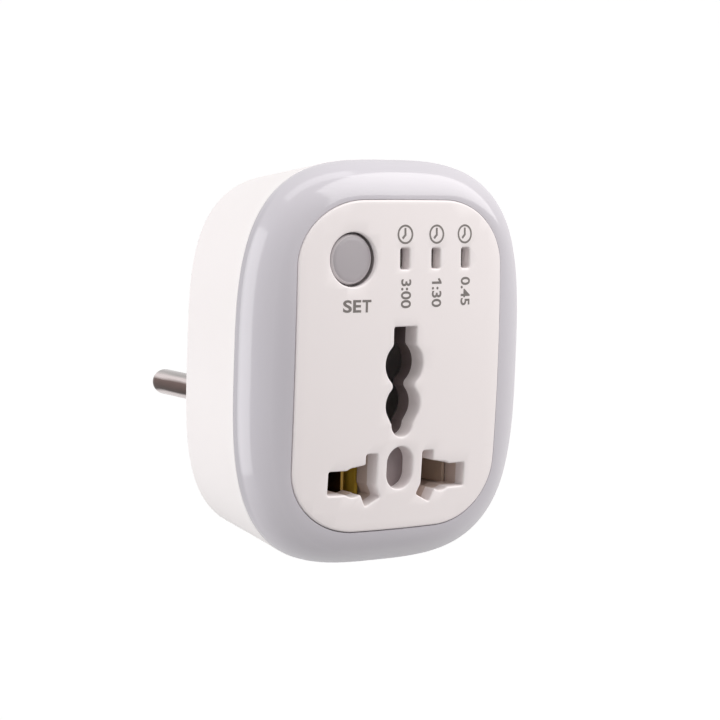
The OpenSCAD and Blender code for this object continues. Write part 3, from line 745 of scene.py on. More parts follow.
def painted_shade_low_left(finish):
    """Painted shade: the diffuser is darkened along its left seam and, less so, over its ledge low
    on the left.
    """
    place = finish.split(finish.where)
    side = finish.fade(place["X"], -22, -28)
    seam = finish.math("MULTIPLY", finish.fade(place["Y"], -40.2, -39.5, 0.0, 0.6), side)
    low_left_shade = finish.fade(finish.math("ADD", place["X"], place["Z"]), -5, 25, 0.4, 0.0)
    ledge = finish.math("MULTIPLY", finish.fade(place["Y"], -44.2, -45.2), low_left_shade)
    painted_shade = finish.math("MAXIMUM", seam, ledge)
    # Painted shade: the seam and ledge masks blend the colour towards a darker grey.
    finish.feed("Base Color", finish.blend(painted_shade, finish.tone(), srgb(172, 168, 175)))
    grazing = finish.add("ShaderNodeLayerWeight", {"Blend": 0.5}).outputs["Facing"]
    finish.feed("Coat Weight", finish.remap(grazing, 0.5, 0.85, 1.0, 0.05))


def painted_rim_highlight(finish, radius):
    """Painted highlight: the button's chamfer, just outside its flat face, is painted pale."""
    middle = (BUTTON[0] * MM, 0.0, BUTTON[1] * MM)
    away = finish.vector("SUBTRACT", finish.where, middle)[0]
    flat = finish.vector("MULTIPLY", away, (1, 0, 1))[0]
    reach = finish.vector("LENGTH", flat)["Value"]
    start = finish.fade(reach, radius + 0.08, radius + 0.16, 0.0, 0.5)
    end = finish.fade(reach, radius + 0.36, radius + 0.46, 1.0, 0.0)
    rim = finish.math("MULTIPLY", start, end)
    # Painted highlight on the chamfer, which the collar round the button keeps in shade.
    finish.feed("Base Color", finish.blend(rim, finish.tone(), srgb(238, 233, 234)))


def core_plastic(grey, pale):
    """The outlet core's grey plastic with painted shade, darker upwards, and painted light, a pale
    tone, on the walls of its two line pockets.
    """
    finish = moulded_plastic("Core plastic", grey, 0.5)
    place = finish.split(finish.where)
    # Painted shade: the core is darker upwards.
    tone = finish.blend(finish.fade(place["Z"], -2.0, 9.0), finish.tone(), toned(grey, 0.72))
    side = finish.fade(finish.math("ABSOLUTE", place["X"]), 3.3, 3.36)
    # Painted light: the walls of the line pockets take a pale copy of the core plastic.
    pocket_painted_light = finish.math("MULTIPLY", side, finish.fade(place["Z"], -3.4, -3.6))
    finish.feed("Base Color", finish.blend(pocket_painted_light, tone, pale))
    return finish


def nickel_with_painted_reflections(colour):
    """Nickel plate with painted reflections: a dull grey band on top and a dark band along its
    side; darker at its tip.
    """
    finish = Finish("Nickel plate", {"Metallic": 1.0})
    lines = finish.group("Drawn lines", Stretch=(1.0, 0.12, 1.0), Scale=1500.0)
    run = finish.vector("MULTIPLY", finish.where, (1.0, 0.2, 1.0))[0]
    waver = finish.noise(run, 420.0, 3.0)
    place = finish.split(finish.where)
    level = finish.math("MULTIPLY_ADD", waver, 0.0012, place["Z"])
    # Painted reflections: the top and side bands stand for dark surroundings mirrored in the pin.
    top = finish.fade(level, 1.3, 1.9, 1.0, 0.0)
    reflection_band = finish.math("MULTIPLY", top, finish.fade(level, -0.9, -0.4, 0.15, 1.0))
    painted_dark_reflection = finish.blend(finish.fade(level, -0.7, 1.5), srgb(44, 32, 28), srgb(112, 94, 90))
    painted_top_reflection = finish.fade(level, 2.2, 2.7, 0.0, 0.75)
    plate = finish.blend(painted_top_reflection, colour, srgb(140, 138, 136))
    tip = finish.math("MULTIPLY_ADD", waver, 0.0016, place["Y"])
    darker_tip = finish.fade(tip, 18.3, 19.2, 0.0, 0.7)
    tone = finish.blend(darker_tip, finish.blend(reflection_band, plate, painted_dark_reflection), srgb(84, 82, 79))
    finish.feed("Base Color", tone)
    shine = finish.math("MULTIPLY_ADD", lines["Shine"], 0.05, 0.2)
    finish.feed("Roughness", finish.math("MULTIPLY_ADD", reflection_band, 0.12, shine))
    finish.relief(0.3, 0.004, lines["Height"])
    return finish


def worked_metal(
    name, colour, roughness, tarnish, stretch, scale=2500.0, depth=0.006, metallic=1.0
):
    """Plated or rolled metal: drawn lines, patches of shine and a trace of tarnish."""
    finish = Finish(name, {"Metallic": metallic})
    lines = finish.group("Drawn lines", Stretch=stretch, Scale=scale)
    patch = finish.noise(finish.where, 420.0, 4.0)
    share = finish.remap(patch, 0.48, 0.75, 0.0, tarnish)
    edge_wear_and_sheen_mask = finish.group("Rubbed edges")["Mask"]
    worn = finish.math("MULTIPLY", share, finish.math("SUBTRACT", 1.0, edge_wear_and_sheen_mask))
    finish.feed("Base Color", finish.blend(worn, colour, toned(colour, 0.55)))
    shine = finish.math("MULTIPLY_ADD", lines["Shine"], 0.06, roughness)
    finish.feed("Roughness", finish.math("MULTIPLY_ADD", share, 0.2, shine))
    finish.relief(0.3, depth, lines["Height"])
    return finish


def live_brass_painted_light_and_shade(colour):
    """Brass of the live contact, with painted light on the inner leaf, pale and matt, and painted
    shade on the outer leaf's side.
    """
    finish = worked_metal("Live contact brass", colour, 0.42, 0.5, ROLLED)
    across = finish.math("ABSOLUTE", finish.split(finish.where)["X"])
    inner = finish.fade(across, 6.2, 6.4, 1.0, 0.0)
    outer = finish.fade(across, 7.84, 7.88, 0.0, 0.8)
    # Painted shade: the outer leaf's side is painted near black.
    tone = finish.blend(outer, finish.tone(), srgb(70, 44, 30))
    # Painted light: the inner leaf is painted pale yellow and made less metallic.
    finish.feed("Base Color", finish.blend(inner, tone, srgb(222, 188, 70)))
    finish.feed("Metallic", finish.math("MULTIPLY_ADD", inner, -0.75, 1.0))
    return finish


def printed_ink(colour):
    """Pad-printed ink, a little uneven where the panel's grain shows through."""
    finish = Finish("Panel ink", {"IOR": 1.48})
    speck = finish.noise(finish.where, 5200.0, 2.0)
    thin = finish.remap(speck, 0.5, 0.8, 0.0, 0.6)
    finish.feed("Base Color", finish.blend(thin, colour, toned(colour, 1.5, 0.03)))
    finish.feed("Roughness", finish.remap(speck, 0.2, 0.8, 0.45, 0.65))
    return finish


def smoky_lens(colour):
    """Light pipe plastic: translucent, with faint streaks of flow."""
    finish = Finish("Smoky light pipe", {"IOR": 1.55, "Coat Weight": 0.3, "Coat Roughness": 0.08})
    run = finish.vector("MULTIPLY", finish.where, (1.0, 0.2, 0.35))[0]
    streak = finish.noise(run, 900.0, 2.0)
    share = finish.remap(streak, 0.35, 0.65)
    finish.feed("Base Color", finish.blend(share, colour, toned(colour, 0.72)))
    finish.feed("Roughness", finish.remap(streak, 0.3, 0.7, 0.12, 0.28))
    return finish


# How far the drawn lines of rolled strip are stretched along X, Y and Z
ROLLED = (0.3, 0.3, 2.5)

# Finishes of the inner solids, which stay as the frame has them
INNER_PLASTICS = (
    ("Switch plastic", (48, 48, 52), 0.45, "push_switch"),
    ("Plunger plastic", (34, 34, 36), 0.4, "switch_plunger"),
    ("Chip resin", (38, 38, 40), 0.55, "timer_chip"),
    ("LED resin", (236, 228, 190), 0.3, "indicator_leds", "night_leds"),
    ("White board lacquer", (226, 226, 222), 0.35, "led_board"),
    ("Green board lacquer", (30, 92, 56), 0.3, "main_board"),
    ("Relay case", (40, 84, 158), 0.35, "relay"),
    ("Film capacitor case", (206, 178, 74), 0.4, "film_capacitor"),
    ("Capacitor sleeve", (40, 42, 58), 0.3, "electrolytic_capacitor"),
    ("Varistor coat", (58, 104, 172), 0.4, "varistor"),
    ("Rectifier resin", (40, 40, 42), 0.5, "bridge_rectifier"),
    ("Resistor coat", (112, 148, 132), 0.5, "fuse_resistor"),
    ("Brown insulation", (104, 66, 44), 0.4, "live_lead", "switched_lead"),
    ("Blue insulation", (54, 96, 168), 0.4, "outlet_lead", "neutral_lead"),
)


# ---------------------------------------------------------------- pieces


class TIMER_OT_front_panel(Operator):
    """Crowned front panel with its outlet holes, button collar and screw posts"""

    bl_idname = "timer.front_panel"
    bl_label = "Front panel"

    def execute(self, context):
        sizes = context.scene.timer_sizes
        plate = start_circle("front_panel_moulding", POINTS_ROUND, "NGON")
        for point in plate.data.vertices:
            angle = atan2(point.co.z, point.co.x)
            point.co = polar(panel_radius(angle), angle, Y_FRONT)
        edit(plate, "FACE", "SELECT")
        extrude(0, Y_PANEL_BACK - Y_FRONT, 0)
        close_outward()
        bore, undercut, post, post_hole, standoff = 9.36, 10.4, 5.2, 2.3, 3.2
        y_in, through = Y_PANEL_BACK - 0.5, (-46, -42.4)
        weld(
            plate,
            bar(*BUTTON, bore + 2.4, Y_PANEL_BACK - 0.6, Y_PANEL_BACK + 2.0, 64),
            *(bar(x, z, post, y_in, Y_POSTS) for x, z in SCREWS),
            *(bar(x, 20.5, standoff, y_in, -35.6) for x in (-17.9, 17.9)),
        )
        windows = zip(WINDOWS, ((2.0, 3.7), (1.9, 3.6), (1.9, 3.6)))
        cut(
            plate,
            *(prism(line_hole_outline(side), *through, 0.42, 0.3) for side in (1, -1)),
            prism(earth_hole_outline(), *through, 0.35),
            prism(oval_hole_outline(), *through),
            *(prism(box_outline(*place, *size), *through, 0.45) for place, size in windows),
            bar(*BUTTON, bore, -46, -40, 96),
            bar(*BUTTON, undercut, -43.55, -42.0, 96),
            *(bar(x, z, post_hole, -39.5, -29, 32) for x, z in SCREWS),
        )
        rim = rim_at(Y_FRONT)

        def outer(e):
            x, z = middle_of(e)
            return hypot(x, z - Z_MID) > 0.92 * panel_radius(atan2(z - Z_MID, x))

        round_edges(plate, sizes.edge_round, 4, lambda e: rim(e) and outer(e))
        round_edges(plate, sizes.rim_round, 3, lambda e: rim(e) and not outer(e))
        self.cut_into_cells(plate, sizes.crown_cell / MM)
        shape = bmesh.from_edit_mesh(plate.data)
        for point in shape.verts:
            if point.co.y < (Y_PANEL_BACK - 0.05) * MM:
                point.co.y -= crown(point.co.x / MM, point.co.z / MM - Z_MID) * MM
        bmesh.update_edit_mesh(plate.data)
        close_outward()
        finish = moulded_plastic("Panel plastic", context.scene.timer_colours.panel, 0.42)
        finish_piece(plate, finish, ("front_panel",), 40)
        return {"FINISHED"}

    def cut_into_cells(self, plate, cell):
        """Cuts the flat panel both ways, to let it curve, and leaves it in edit mode."""
        edit(plate, "VERT", "SELECT")
        for normal, low, high in (((1, 0, 0), -21, 21), ((0, 0, 1), -19, 38)):
            place = low + cell / 2
            while place < high:
                bpy.ops.mesh.select_all(action="SELECT")
                bpy.ops.mesh.bisect(
                    plane_co=tuple(n * place * MM for n in normal), plane_no=normal
                )
                place += cell


class TIMER_OT_diffuser_ring(Operator):
    """Milky night-light ring with its rounded nose, tongue, skirt and ledge"""

    bl_idname = "timer.diffuser_ring"
    bl_label = "Diffuser ring"

    def execute(self, context):
        sizes = context.scene.timer_sizes
        lip_round, seam_round = sizes.lip_round / MM, sizes.seam_round / MM

        def opening(angle):
            """The ring's opening, wider low on the left, as the panel sits up and to the right."""
            return panel_radius(angle, 0.06 * cos(angle - pi / 4) - 0.09)

        def lip_depth(angle):
            reach = opening(angle)
            return Y_FRONT + 0.2 - crown(reach * cos(angle), reach * sin(angle))

        def lip(turn):
            def place(angle):
                reach = opening(angle) + lip_round * (1 - cos(turn))
                return polar(reach, angle, lip_depth(angle) + lip_round * (1 - sin(turn)))

            return place

        def nose(turn, wall=0.0):
            def place(angle):
                inner, rim = opening(angle), body_radius(angle, wall)
                first = lip_depth(angle) + wall
                reach = inner + (rim - inner) * sin(turn)
                return polar(reach, angle, first + (Y_SEAM_LINE - first) * (1 - cos(turn)))

            return place

        start, steps = 0.045, sizes.nose_steps
        y_tongue, y_ledge, y_groove = Y_SEAM + 2.0, Y_PANEL_BACK + 1.4, Y_SEAM - 0.9
        soft = seam_round * 0.3
        places = [lip(radians(t)) for t in (0, 30, 60)]
        places += [nose(start + (pi / 2 - start) * i / steps) for i in range(steps)]
        places += [
            level_ring(y, body_radius, inset)
            for y, inset in (
                (Y_SEAM_LINE - soft, soft),
                (Y_SEAM_LINE, seam_round),
                (Y_SEAM_LINE, 2.1),
                (y_tongue, 2.1),
                (y_tongue, 3.3),
                (Y_SEAM - 1.6, 3.3),
            )
        ]
        places += [nose(radians(t), 1.8) for t in (62, 44, 26, 10)]
        places += [
            level_ring(y, panel_radius, inset)
            for y, inset in (
                (y_ledge, -0.8),
                (y_groove, -0.8),
                (y_groove, 0.4),
                (y_ledge, 0.4),
                (y_ledge, 2.2),
                (Y_PANEL_BACK, 2.2),
            )
        ]
        places += [level_ring(Y_PANEL_BACK, opening), lip(0.0)]
        ring = lofted("diffuser_ring_moulding", places, capped=False)
        finish = moulded_plastic(
            "Milky diffuser",
            context.scene.timer_colours.ring,
            0.34,
            grain=900.0,
            depth=0.004,
            drift=0.04,
            edge=0.2,
            plain={"Specular IOR Level": 0.3, "Coat Roughness": 0.09},
        )
        painted_shade_low_left(finish)
        finish_piece(ring, finish, ("diffuser_ring",), 40)
        return {"FINISHED"}


class TIMER_OT_rear_shell(Operator):
    """Rear shell with its plug boss, strap seats, ribs and screw recesses"""

    bl_idname = "timer.rear_shell"
    bl_label = "Rear shell"

    def execute(self, context):
        shell = lofted("rear_shell_moulding", self.skin(context.scene.timer_sizes), capped=True)
        y_floor, y_out, half_strap = Y_BACK - 1, Y_BACK + 1, 3.1
        post, hollow, pin_hole, screw_hole, recess = 7.0, 26.8, 4.9, 2.6, 5.0
        weld(
            shell,
            turned("boss", self.boss_profile(), 96),
            *(bar(x, z, post, Y_POSTS, y_floor) for x, z in SCREWS),
        )
        for s in (-1, 1):
            rib = s * 21.2
            weld(shell, block((rib - 1, -34.4, 19.5), (rib + 1, y_floor, 21.5)))
            for x, z in ((s * 6.5, Z_LINE - 5), (s * 4.0, 16.5)):
                weld(shell, block((x - 1.5, -24.3, z - 1), (x + 1.5, y_floor, z + 1)))
        cut(shell, bar(0, 0, hollow, -23.2, -3.5, 96))
        for s in (-1, 1):
            # The pin's hole, then the strap's seat down the boss and its slot through the wall
            cut(shell, bar(s * X_PIN, 0, pin_hole, -5, 1))
            for z0, z1, y_end in ((15.3, 18.6, 1), (12.4, 15.4, -17.4)):
                low, high = sorted((s * z0, s * z1))
                cut(shell, block((-half_strap, -18.4, low), (half_strap, y_end, high)))
        for x, z in SCREWS:
            cut(shell, bar(x, z, screw_hole, -32, y_out, 32))
            cut(shell, bar(x, z, recess, Y_BACK - 3.5, y_out))
        rim = rim_at(Y_BACK)

        def recess_rim(e):
            x, z = middle_of(e)
            return rim(e) and min(hypot(x - sx, z - sz) for sx, sz in SCREWS) < 3

        round_edges(shell, 0.25 * MM, 3, recess_rim)
        finish = moulded_plastic(
            "Housing plastic", context.scene.timer_colours.shell, 0.38, dust=0.02
        )
        finish_piece(shell, finish, ("rear_shell",), 35, even_flats=True)
        return {"FINISHED"}

    def skin(self, sizes):
        """The shell's rings, from the floor inside over the seam to the back's edge."""
        seam_round, corner = sizes.seam_round / MM, 1.5
        y_corner, soft = Y_BACK - corner, seam_round * 0.3

        def wall(share):
            def place(angle):
                first, last = body_radius(angle), body_radius(angle, 0, 1)
                depth = Y_SEAM_LINE + (y_corner - Y_SEAM_LINE) * share
                return polar(first + (last - first) * share, angle, depth)

            return place

        places = [
            level_ring(y, body_radius, inset, lean)
            for y, inset, lean in (
                (-22.2, 3.05, 1),
                (-22.9, 2.2, 1),
                (-23.7, 2.0, 1),
                (Y_SEAM + 2.4, 2.0, 0),
                (Y_SEAM_LINE, 2.0, 0),
                (Y_SEAM_LINE, seam_round, 0),
                (Y_SEAM_LINE + soft, soft, 0),
                (Y_SEAM_LINE + seam_round, 0, 0),
            )
        ]
        places += [wall(share) for share in (0.15, 0.4, 0.7, 1.0)]
        for t in (radians(degrees) for degrees in (15, 30, 45, 60, 75, 90)):
            inset, y = corner * (1 - cos(t)), y_corner + corner * sin(t)
            places.append(level_ring(y, body_radius, inset, 1))
        return places

    def boss_profile(self):
        root, face, y_floor = 18.0, 15.6, Y_BACK - 1
        profile = [(0, y_floor), (root + 0.6, y_floor), (root + 0.6, Y_BACK)]
        profile += [(root + 0.18, Y_BACK + 0.12), (root - 0.05, Y_BACK + 0.5)]
        profile += [(x, y - 1) for x, y in arc(face - 1, 0, 1, 0, 90, 6)]
        return profile + [(11.2, 0), (11.0, -0.25), (10.6, -0.25), (10.4, 0), (0, 0)]


class TIMER_OT_plug_pins(Operator):
    """Two round plated pins with bullet tips, shoulders and solder tails"""

    bl_idname = "timer.plug_pins"
    bl_label = "Plug pins"

    def execute(self, context):
        radius, tip, y_end = 2.4, 2.2, 19
        profile = [(0, -8.0), (1.5, -8.0), (1.7, -7.8), (1.7, -5.0), (3.3, -5.0), (3.4, -4.9)]
        profile += [(3.4, -3.6), (3.3, -3.5), (2.3, -3.5), (2.3, 0), (radius - 0.08, 0)]
        profile += [(radius, 0.08), (radius, 3.0), (radius, 10.0)]
        for t in (radians(degrees) for degrees in range(0, 90, 9)):
            profile.append((radius * cos(t) ** 0.72, y_end - tip + tip * sin(t)))
        profile.append((0, y_end))
        first = turned("live_pin_plated", profile, 72, -X_PIN)
        twin = moved_copy(first, 2 * X_PIN, name="neutral_pin_plated")
        finish = nickel_with_painted_reflections(context.scene.timer_colours.nickel)
        finish_piece(first, finish, ("live_pin",), 30)
        finish_piece(twin, finish, ("neutral_pin",), 30)
        return {"FINISHED"}


class TIMER_OT_earth_strap(Operator):
    """Spring strip with two bowed side clips and its crossing bar"""

    bl_idname = "timer.earth_strap"
    bl_label = "Earth strap"

    def execute(self, context):
        seat, bow, thick, half_wide, y_bar, y_tip = 15.4, 2.2, 0.8, 3.0, -17.5, -1.6
        steps = 16
        inner = [
            (y_bar + (y_tip - y_bar) * i / steps, seat + bow * sin(pi * i / steps))
            for i in range(steps + 1)
        ]
        outer = [(y_bar - thick, seat + thick)] + [(y, z + thick) for y, z in inner]
        path = outer[::-1] + [(y, -z) for y, z in outer] + [(y, -z) for y, z in inner[::-1]] + inner
        strap = start_circle("earth_strap_spring", len(path), "NGON")
        for point, (y, z) in zip(strap.data.vertices, path):
            point.co = Vector((-half_wide, y, z)) * MM
        edit(strap, "FACE", "SELECT")
        extrude(2 * half_wide, 0, 0)
        close_outward()
        round_edges(strap, 0.16 * MM, 2, lambda e: bend_of(e) > radians(50))
        steel = context.scene.timer_colours.steel
        stretch = (3.0, 0.12, 0.12)
        finish = worked_metal("Plated spring strip", steel, 0.26, 0.3, stretch, 2200.0, 0.004)
        finish_piece(strap, finish, ("earth_strap",), 30)
        return {"FINISHED"}


class TIMER_OT_set_button(Operator):
    """Round grey button with a softened edge and a shallow ring round its face"""

    bl_idname = "timer.set_button"
    bl_label = "Set button"

    def execute(self, context):
        dome = context.scene.timer_sizes.button_dome / MM
        face = front_at(*BUTTON) + 0.7
        radius, flat, flange, stem, y_flange = 4.32, 3.8, 5.6, 1.6, -41.0
        y_stem, y_end = y_flange + 0.8, y_flange + 1.5
        profile = [(flat * i / 6, face - dome * (1 - (i / 6) ** 2)) for i in range(7)]
        profile += [
            (flat + 0.04, face + 0.03),
            (flat + 0.09, face + 0.03),
            (flat + 0.16, face + 0.02),
            (radius - 0.12, face + 0.26),
            (radius - 0.03, face + 0.36),
            (radius, face + 0.5),
            (radius, y_flange),
            (flange, y_flange),
            (flange, y_stem),
            (stem, y_stem),
            (stem, y_end),
            (0, y_end),
        ]
        button = turned("set_button_cap", profile, 96, *BUTTON)
        grey = context.scene.timer_colours.button
        finish = moulded_plastic("Button plastic", grey, 0.4, grain=2600.0, depth=0.01, edge=0.5)
        painted_rim_highlight(finish, flat)
        finish_piece(button, finish, ("set_button",), 40, "button")
        return {"FINISHED"}


class TIMER_OT_light_pipes(Operator):
    """Three smoky light pipes on their common flange"""

    bl_idname = "timer.light_pipes"
    bl_label = "Light pipes"

    def execute(self, context):
        low, high = ([c / MM for c in corner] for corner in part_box("indicator_lens"))
        flange = block(
            (low[0], Y_PANEL_BACK, low[2]),
            (high[0], Y_PANEL_BACK + 1.2, high[2]),
            "light_pipes_clear",
        )
        round_edges(flange, 0.2 * MM, 2, lambda e: bend_of(e) > 1)
        for x, z in WINDOWS:
            face = front_at(x, z) + 2.1
            pipe = prism(box_outline(x, z, 1.7, 3.4), face, high[1], 0.4)
            round_edges(pipe, 0.12 * MM, 2, rim_at(face))
            weld(flange, pipe)
        finish = smoky_lens(context.scene.timer_colours.lens)
        finish_piece(flange, finish, ("indicator_lens",), 35)
        return {"FINISHED"}


class TIMER_OT_panel_print(Operator):
    """Printed word, delay digits and clock icons on the front panel"""

    bl_idname = "timer.panel_print"
    bl_label = "Panel print"

    def execute(self, context):
        sizes = context.scene.timer_sizes
        tall, wide = sizes.print_height / MM, sizes.icon_width / MM
        prints = [
            self.word(text, x, z, width, tall, quarter_turn)
            for text, x, z, width, quarter_turn in (
                ("S", -12.33, 20.1, 1.74, False),
                ("E", -10.38, 20.1, 1.62, False),
                ("T", -8.42, 20.1, 1.8, False),
                ("3:00", -0.23, 22.07, 5.0, True),
                (":30", 6.52, 21.38, 3.54, True),
                ("0.45", 13.16, 22.26, 5.0, True),
            )
        ]
        prints.append(self.digit_one(6.52, 23.66, tall))
        icon = self.clock_icon(-0.5, 32.3, wide)
        prints += [icon, *(moved_copy(icon, x) for x in (6.91, 13.4))]
        sheet = joined("panel_print_ink", prints)
        self.lay_on_panel(sheet, sizes.ink_thickness)
        edit(sheet, "VERT", "SELECT")
        close_outward(1e-7)
        finish_piece(sheet, printed_ink(context.scene.timer_colours.ink), smooth=0)
        return {"FINISHED"}

    def word(self, text, x, z, width, height, quarter_turn):
        """A word at its middle, as a closed mesh facing the front."""
        nothing_selected()
        bpy.ops.object.text_add(location=(0, 0, 0), rotation=(pi / 2, 0, 0))
        word = named("print")
        word.data.body = text
        word.data.extrude = 0.05
        word.data.offset = 0.018 if quarter_turn else 0.028
        word.data.resolution_u = 6
        bpy.ops.object.convert(target="MESH")
        apply_place()
        points = [p.co for p in word.data.vertices]
        left, right = min(p.x for p in points), max(p.x for p in points)
        base, top = min(p.z for p in points), max(p.z for p in points)
        for point in points:
            u = ((point.x - left) / (right - left) - 0.5) * width
            v = ((point.z - base) / (top - base) - 0.5) * height
            if quarter_turn:
                u, v = v, -u
            point.x, point.z = (x + u) * MM, (z + v) * MM
        return word

    def digit_one(self, x, z, tall):
        """The digit one on its side, with its flag."""
        foot, head = x - tall / 2, x + tall / 2
        points = [(foot, z), (head, z), (head, z + 0.34), (head - 0.5, z + 1.02)]
        points += [(head - 0.86, z + 0.86), (head - 0.56, z + 0.42), (foot, z + 0.42)]
        return prism(points, -0.05, 0.05)

    def clock_icon(self, x, z, wide):
        """A thin circle with one hand up and one down to the left."""
        ring = bar(x, z, wide, -0.05, 0.05)
        cut(ring, bar(x, z, wide - 0.68, -0.2, 0.2))
        hands = [(-0.2, 1.1), (-0.2, -0.02), (-0.74, -0.58), (-0.46, -0.86), (0.2, -0.18)]
        hands.append((0.2, 1.1))
        return joined("print", [ring, prism([(x + u, z + v) for u, v in hands], -0.05, 0.05)])

    def lay_on_panel(self, piece, thickness):
        """Lays a flat print on the crowned panel; its own depth becomes the ink's."""
        for point in piece.data.vertices:
            depth = (front_at(point.co.x / MM, point.co.z / MM) - 0.004) * MM
            point.co.y = depth - (thickness if point.co.y < 0 else -0.02 * MM)


class TIMER_OT_housing_screws(Operator):
    """Three cross-recessed screws in the rear shell's recesses"""

    bl_idname = "timer.housing_screws"
    bl_label = "Housing screws"

    def execute(self, context):
        low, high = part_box("housing_screws")
        y_top, y_end = high[1] / MM, low[1] / MM
        y_under, shank, core = y_top - 1.8, 1.1, 0.82
        x, z = SCREWS[0]
        profile = [(0, y_top - 0.02), (1.0, y_top - 0.06), (1.7, y_top - 0.3), (2.15, y_top - 0.75)]
        profile += [(2.3, y_top - 1.15), (2.3, y_under), (shank, y_under)]
        y = y_under - 0.8
        while y > y_end + 2.2:
            profile += [(shank, y), (core, y - 0.3), (core, y - 0.5), (shank, y - 0.8)]
            y -= 1.1
        profile += [(0.9, y_end + 0.8), (0, y_end)]
        screw = turned("screw", profile, 40, x, z)
        for width, height in ((2.5, 0.55), (0.55, 2.5)):
            cut(screw, prism(box_outline(x, z, width, height), y_top - 1.0, y_top + 0.4))
        twins = [moved_copy(screw, other[0] - x, other[1] - z) for other in SCREWS[1:]]
        piece = joined("housing_screws_steel", [screw, *twins])
        grey, stretch = srgb(178, 178, 176), (1.0, 0.3, 1.0)
        finish = worked_metal("Zinc-plated screw", grey, 0.32, 0.35, stretch, 1500.0, 0.005)
        finish_piece(piece, finish, ("housing_screws",), 30)
        return {"FINISHED"}


class TIMER_OT_inner_finishes(Operator):
    """Finishes of the outlet's core, the contacts and the electronics"""

    bl_idname = "timer.inner_finishes"
    bl_label = "Inner finishes"

    def execute(self, context):
        solids, colours = frame["nodes"], context.scene.timer_colours
        for name, colour, roughness, *nodes in INNER_PLASTICS:
            finish = moulded_plastic(name, srgb(*colour), roughness)
            for node in nodes:
                dress(solids[node], finish)
        brass = worked_metal("Contact brass", colours.brass, 0.42, 0.5, ROLLED)
        # Painted light: the neutral contact takes a paler, barely metallic copy of the brass.
        lit_brass_copy = worked_metal("Contact bronze", colours.lit_brass_copy, 0.6, 0.3, ROLLED, metallic=0.25)
        tin = worked_metal("Tinned wire", srgb(206, 204, 198), 0.3, 0.4, (0.2, 3.0, 0.2))
        dress(solids["socket_core"], core_plastic(colours.core, colours.pocket_painted_light))
        dress(solids["live_contact"], live_brass_painted_light_and_shade(colours.brass))
        dress(solids["earth_contact"], brass)
        dress(solids["neutral_contact"], lit_brass_copy)
        dress(solids["board_links"], tin)
        return {"FINISHED"}


# ---------------------------------------------------------------- stage


def seen_ray(nodes):
    """1 for what the camera sees directly, in a reflection or through glass, and else 0."""
    path = nodes.add("ShaderNodeLightPath").outputs
    seen = nodes.math("MAXIMUM", path["Is Camera Ray"], path["Is Glossy Ray"])
    return nodes.math("MAXIMUM", seen, path["Is Transmission Ray"])


def studio_paper():
    """Paper whose own tone takes the shadow; a glow makes it white where it is seen."""
    tone, near_glow, far_glow = 0.42, 0.64, 0.82
    finish = Finish("Studio paper", {"Roughness": 0.9, "IOR": 1.2, "Emission Strength": 1.0})
    share = finish.remap(finish.noise(finish.where, 2.0, 2.0), 0.3, 0.7)
    finish.feed("Base Color", finish.blend(share, (tone,) * 3, (tone * 0.97,) * 3))
    flat = finish.vector("MULTIPLY", finish.where, (1, 1, 0))[0]
    away = finish.vector("LENGTH", flat)["Value"]
    level = finish.remap(away, 0.3, 1.6, near_glow, far_glow)
    white = finish.add("ShaderNodeCombineColor", {0: level, 1: level, 2: level}).outputs[0]
    finish.feed("Emission Color", finish.blend(seen_ray(finish), (0, 0, 0), white))
    return finish


def soft_lamp(name, place, wide, high, power, tint=(1, 1, 1)):
    """An area light aimed at the object's middle."""
    nothing_selected()
    bpy.ops.object.light_add(type="AREA", location=place)
    lamp = named(name)
    lamp.data.shape = "RECTANGLE"
    lamp.data.size, lamp.data.size_y = wide, high
    lamp.data.energy = power
    lamp.data.color = tint
    aim = Vector((0, -0.032, 0.0095)) - Vector(place)
    lamp.rotation_euler = aim.to_track_quat("-Z", "Y").to_euler()


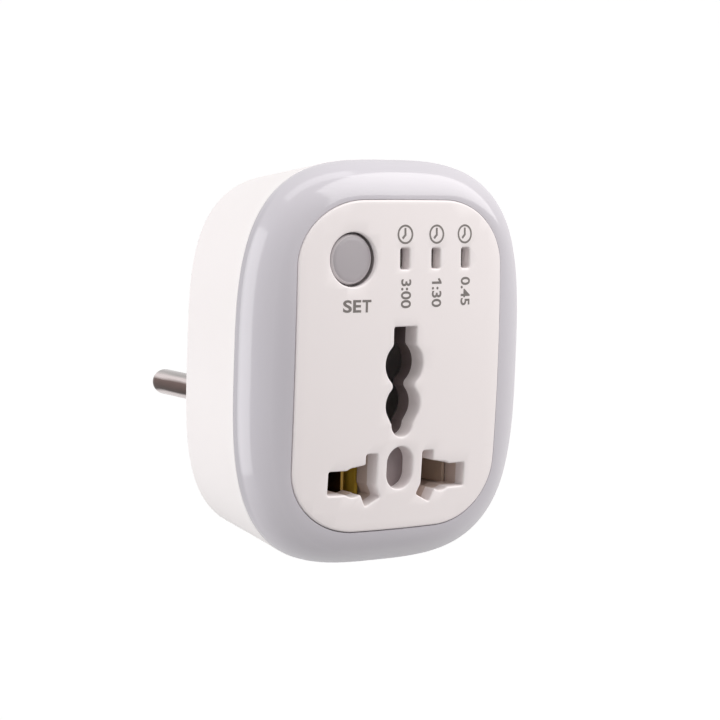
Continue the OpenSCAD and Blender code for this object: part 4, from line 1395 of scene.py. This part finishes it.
class TIMER_OT_stage(Operator):
    """Plain pale floor and backdrop, soft studio light and the camera"""

    bl_idname = "timer.stage"
    bl_label = "Stage"

    def execute(self, context):
        nothing_selected()
        bpy.ops.mesh.primitive_plane_add(size=1, location=(0, 0.6, -0.42))
        floor = named("studio_sweep")
        floor.scale = (6, 3.4, 1)
        apply_place()
        edit(floor)
        pick(floor, "EDGE", lambda e: min(p.co.y for p in e.verts) > 2.2)
        bpy.ops.mesh.extrude_region_move(TRANSFORM_OT_translate={"value": (0, 0, 2.6)})
        pick(floor, "EDGE", lambda e: bend_of(e) > 1)
        bpy.ops.mesh.bevel(offset=0.7, segments=12, affect="EDGES")
        close()
        bpy.ops.object.shade_smooth_by_angle(angle=radians(30))
        dress(floor, studio_paper())

        world = bpy.data.worlds.new("Soft studio")
        context.scene.world = world
        world.use_nodes = True
        world.node_tree.nodes.clear()
        nodes = Nodes(world.node_tree)
        fill, white = (
            nodes.add("ShaderNodeBackground", {"Color": (*tint, 1), "Strength": power}).outputs[0]
            for tint, power in (((1.0, 0.985, 0.98), 0.5), ((1, 1, 1), 1.0))
        )
        mix = nodes.add("ShaderNodeMixShader", {0: seen_ray(nodes), 1: fill, 2: white})
        nodes.add("ShaderNodeOutputWorld", {"Surface": mix.outputs[0]})

        soft_lamp("key_right", (0.58, -0.58, 0.6), 1.0, 1.0, 8.4, (1.0, 0.98, 0.97))
        soft_lamp("left_window", (-0.74, 0.1, 0.05), 0.64, 0.9, 4.0)
        soft_lamp("top_strip", (0.0, -0.1, 0.9), 0.9, 0.32, 1.4)
        self.add_camera(context.scene)
        context.scene.view_settings.view_transform = "Standard"
        return {"FINISHED"}

    def add_camera(self, scene):
        """The camera, placed from the panel's middle by its turns and its distance in mm."""
        yaw, pitch, roll = radians(36.11), radians(-6.10), radians(1.92)
        aside, above, distance = -6.48, 0.83, 417.3
        forward = Vector((sin(yaw) * cos(pitch), cos(yaw) * cos(pitch), sin(pitch)))
        level = Vector((cos(yaw), -sin(yaw), 0))
        rise = level.cross(forward)
        right = cos(roll) * level + sin(roll) * rise
        up = -sin(roll) * level + cos(roll) * rise
        middle = Vector((0, Y_FRONT, Z_MID))
        place = aside * right + above * up - distance * forward + middle
        turn = Matrix((right, up, -forward)).transposed().to_4x4()
        data = bpy.data.cameras.new("camera")
        camera = bpy.data.objects.new("camera", data)
        scene.collection.objects.link(camera)
        camera.matrix_world = Matrix.Translation(place * MM) @ turn
        data.lens = 120
        data.sensor_width = 36
        data.clip_start = 0.01
        data.clip_end = 20
        scene.camera = camera


STEPS = (
    TIMER_OT_front_panel,
    TIMER_OT_diffuser_ring,
    TIMER_OT_rear_shell,
    TIMER_OT_plug_pins,
    TIMER_OT_earth_strap,
    TIMER_OT_set_button,
    TIMER_OT_light_pipes,
    TIMER_OT_panel_print,
    TIMER_OT_housing_screws,
    TIMER_OT_inner_finishes,
    TIMER_OT_stage,
)


class TIMER_PT_pieces(Panel):
    bl_label = "Timer pieces"
    bl_idname = "TIMER_PT_pieces"
    bl_space_type = "VIEW_3D"
    bl_region_type = "UI"
    bl_category = "Timer"

    def draw(self, context):
        for group in (context.scene.timer_sizes, context.scene.timer_colours):
            box = self.layout.box()
            for key in group.bl_rna.properties.keys():
                if key not in {"rna_type", "name"}:
                    box.prop(group, key)
        for step in STEPS:
            self.layout.operator(step.bl_idname)


CLASSES = (TimerSizes, TimerColours, *STEPS, TIMER_PT_pieces)


def register():
    for item in CLASSES:
        bpy.utils.register_class(item)
    bpy.types.Scene.timer_sizes = PointerProperty(type=TimerSizes)
    bpy.types.Scene.timer_colours = PointerProperty(type=TimerColours)


def unregister():
    del bpy.types.Scene.timer_colours
    del bpy.types.Scene.timer_sizes
    for item in reversed(CLASSES):
        bpy.utils.unregister_class(item)


def main():
    register()
    for step in STEPS:
        name = step.bl_idname.split(".")[1]
        getattr(bpy.ops.timer, name)()


if __name__ == "__main__":
    main()
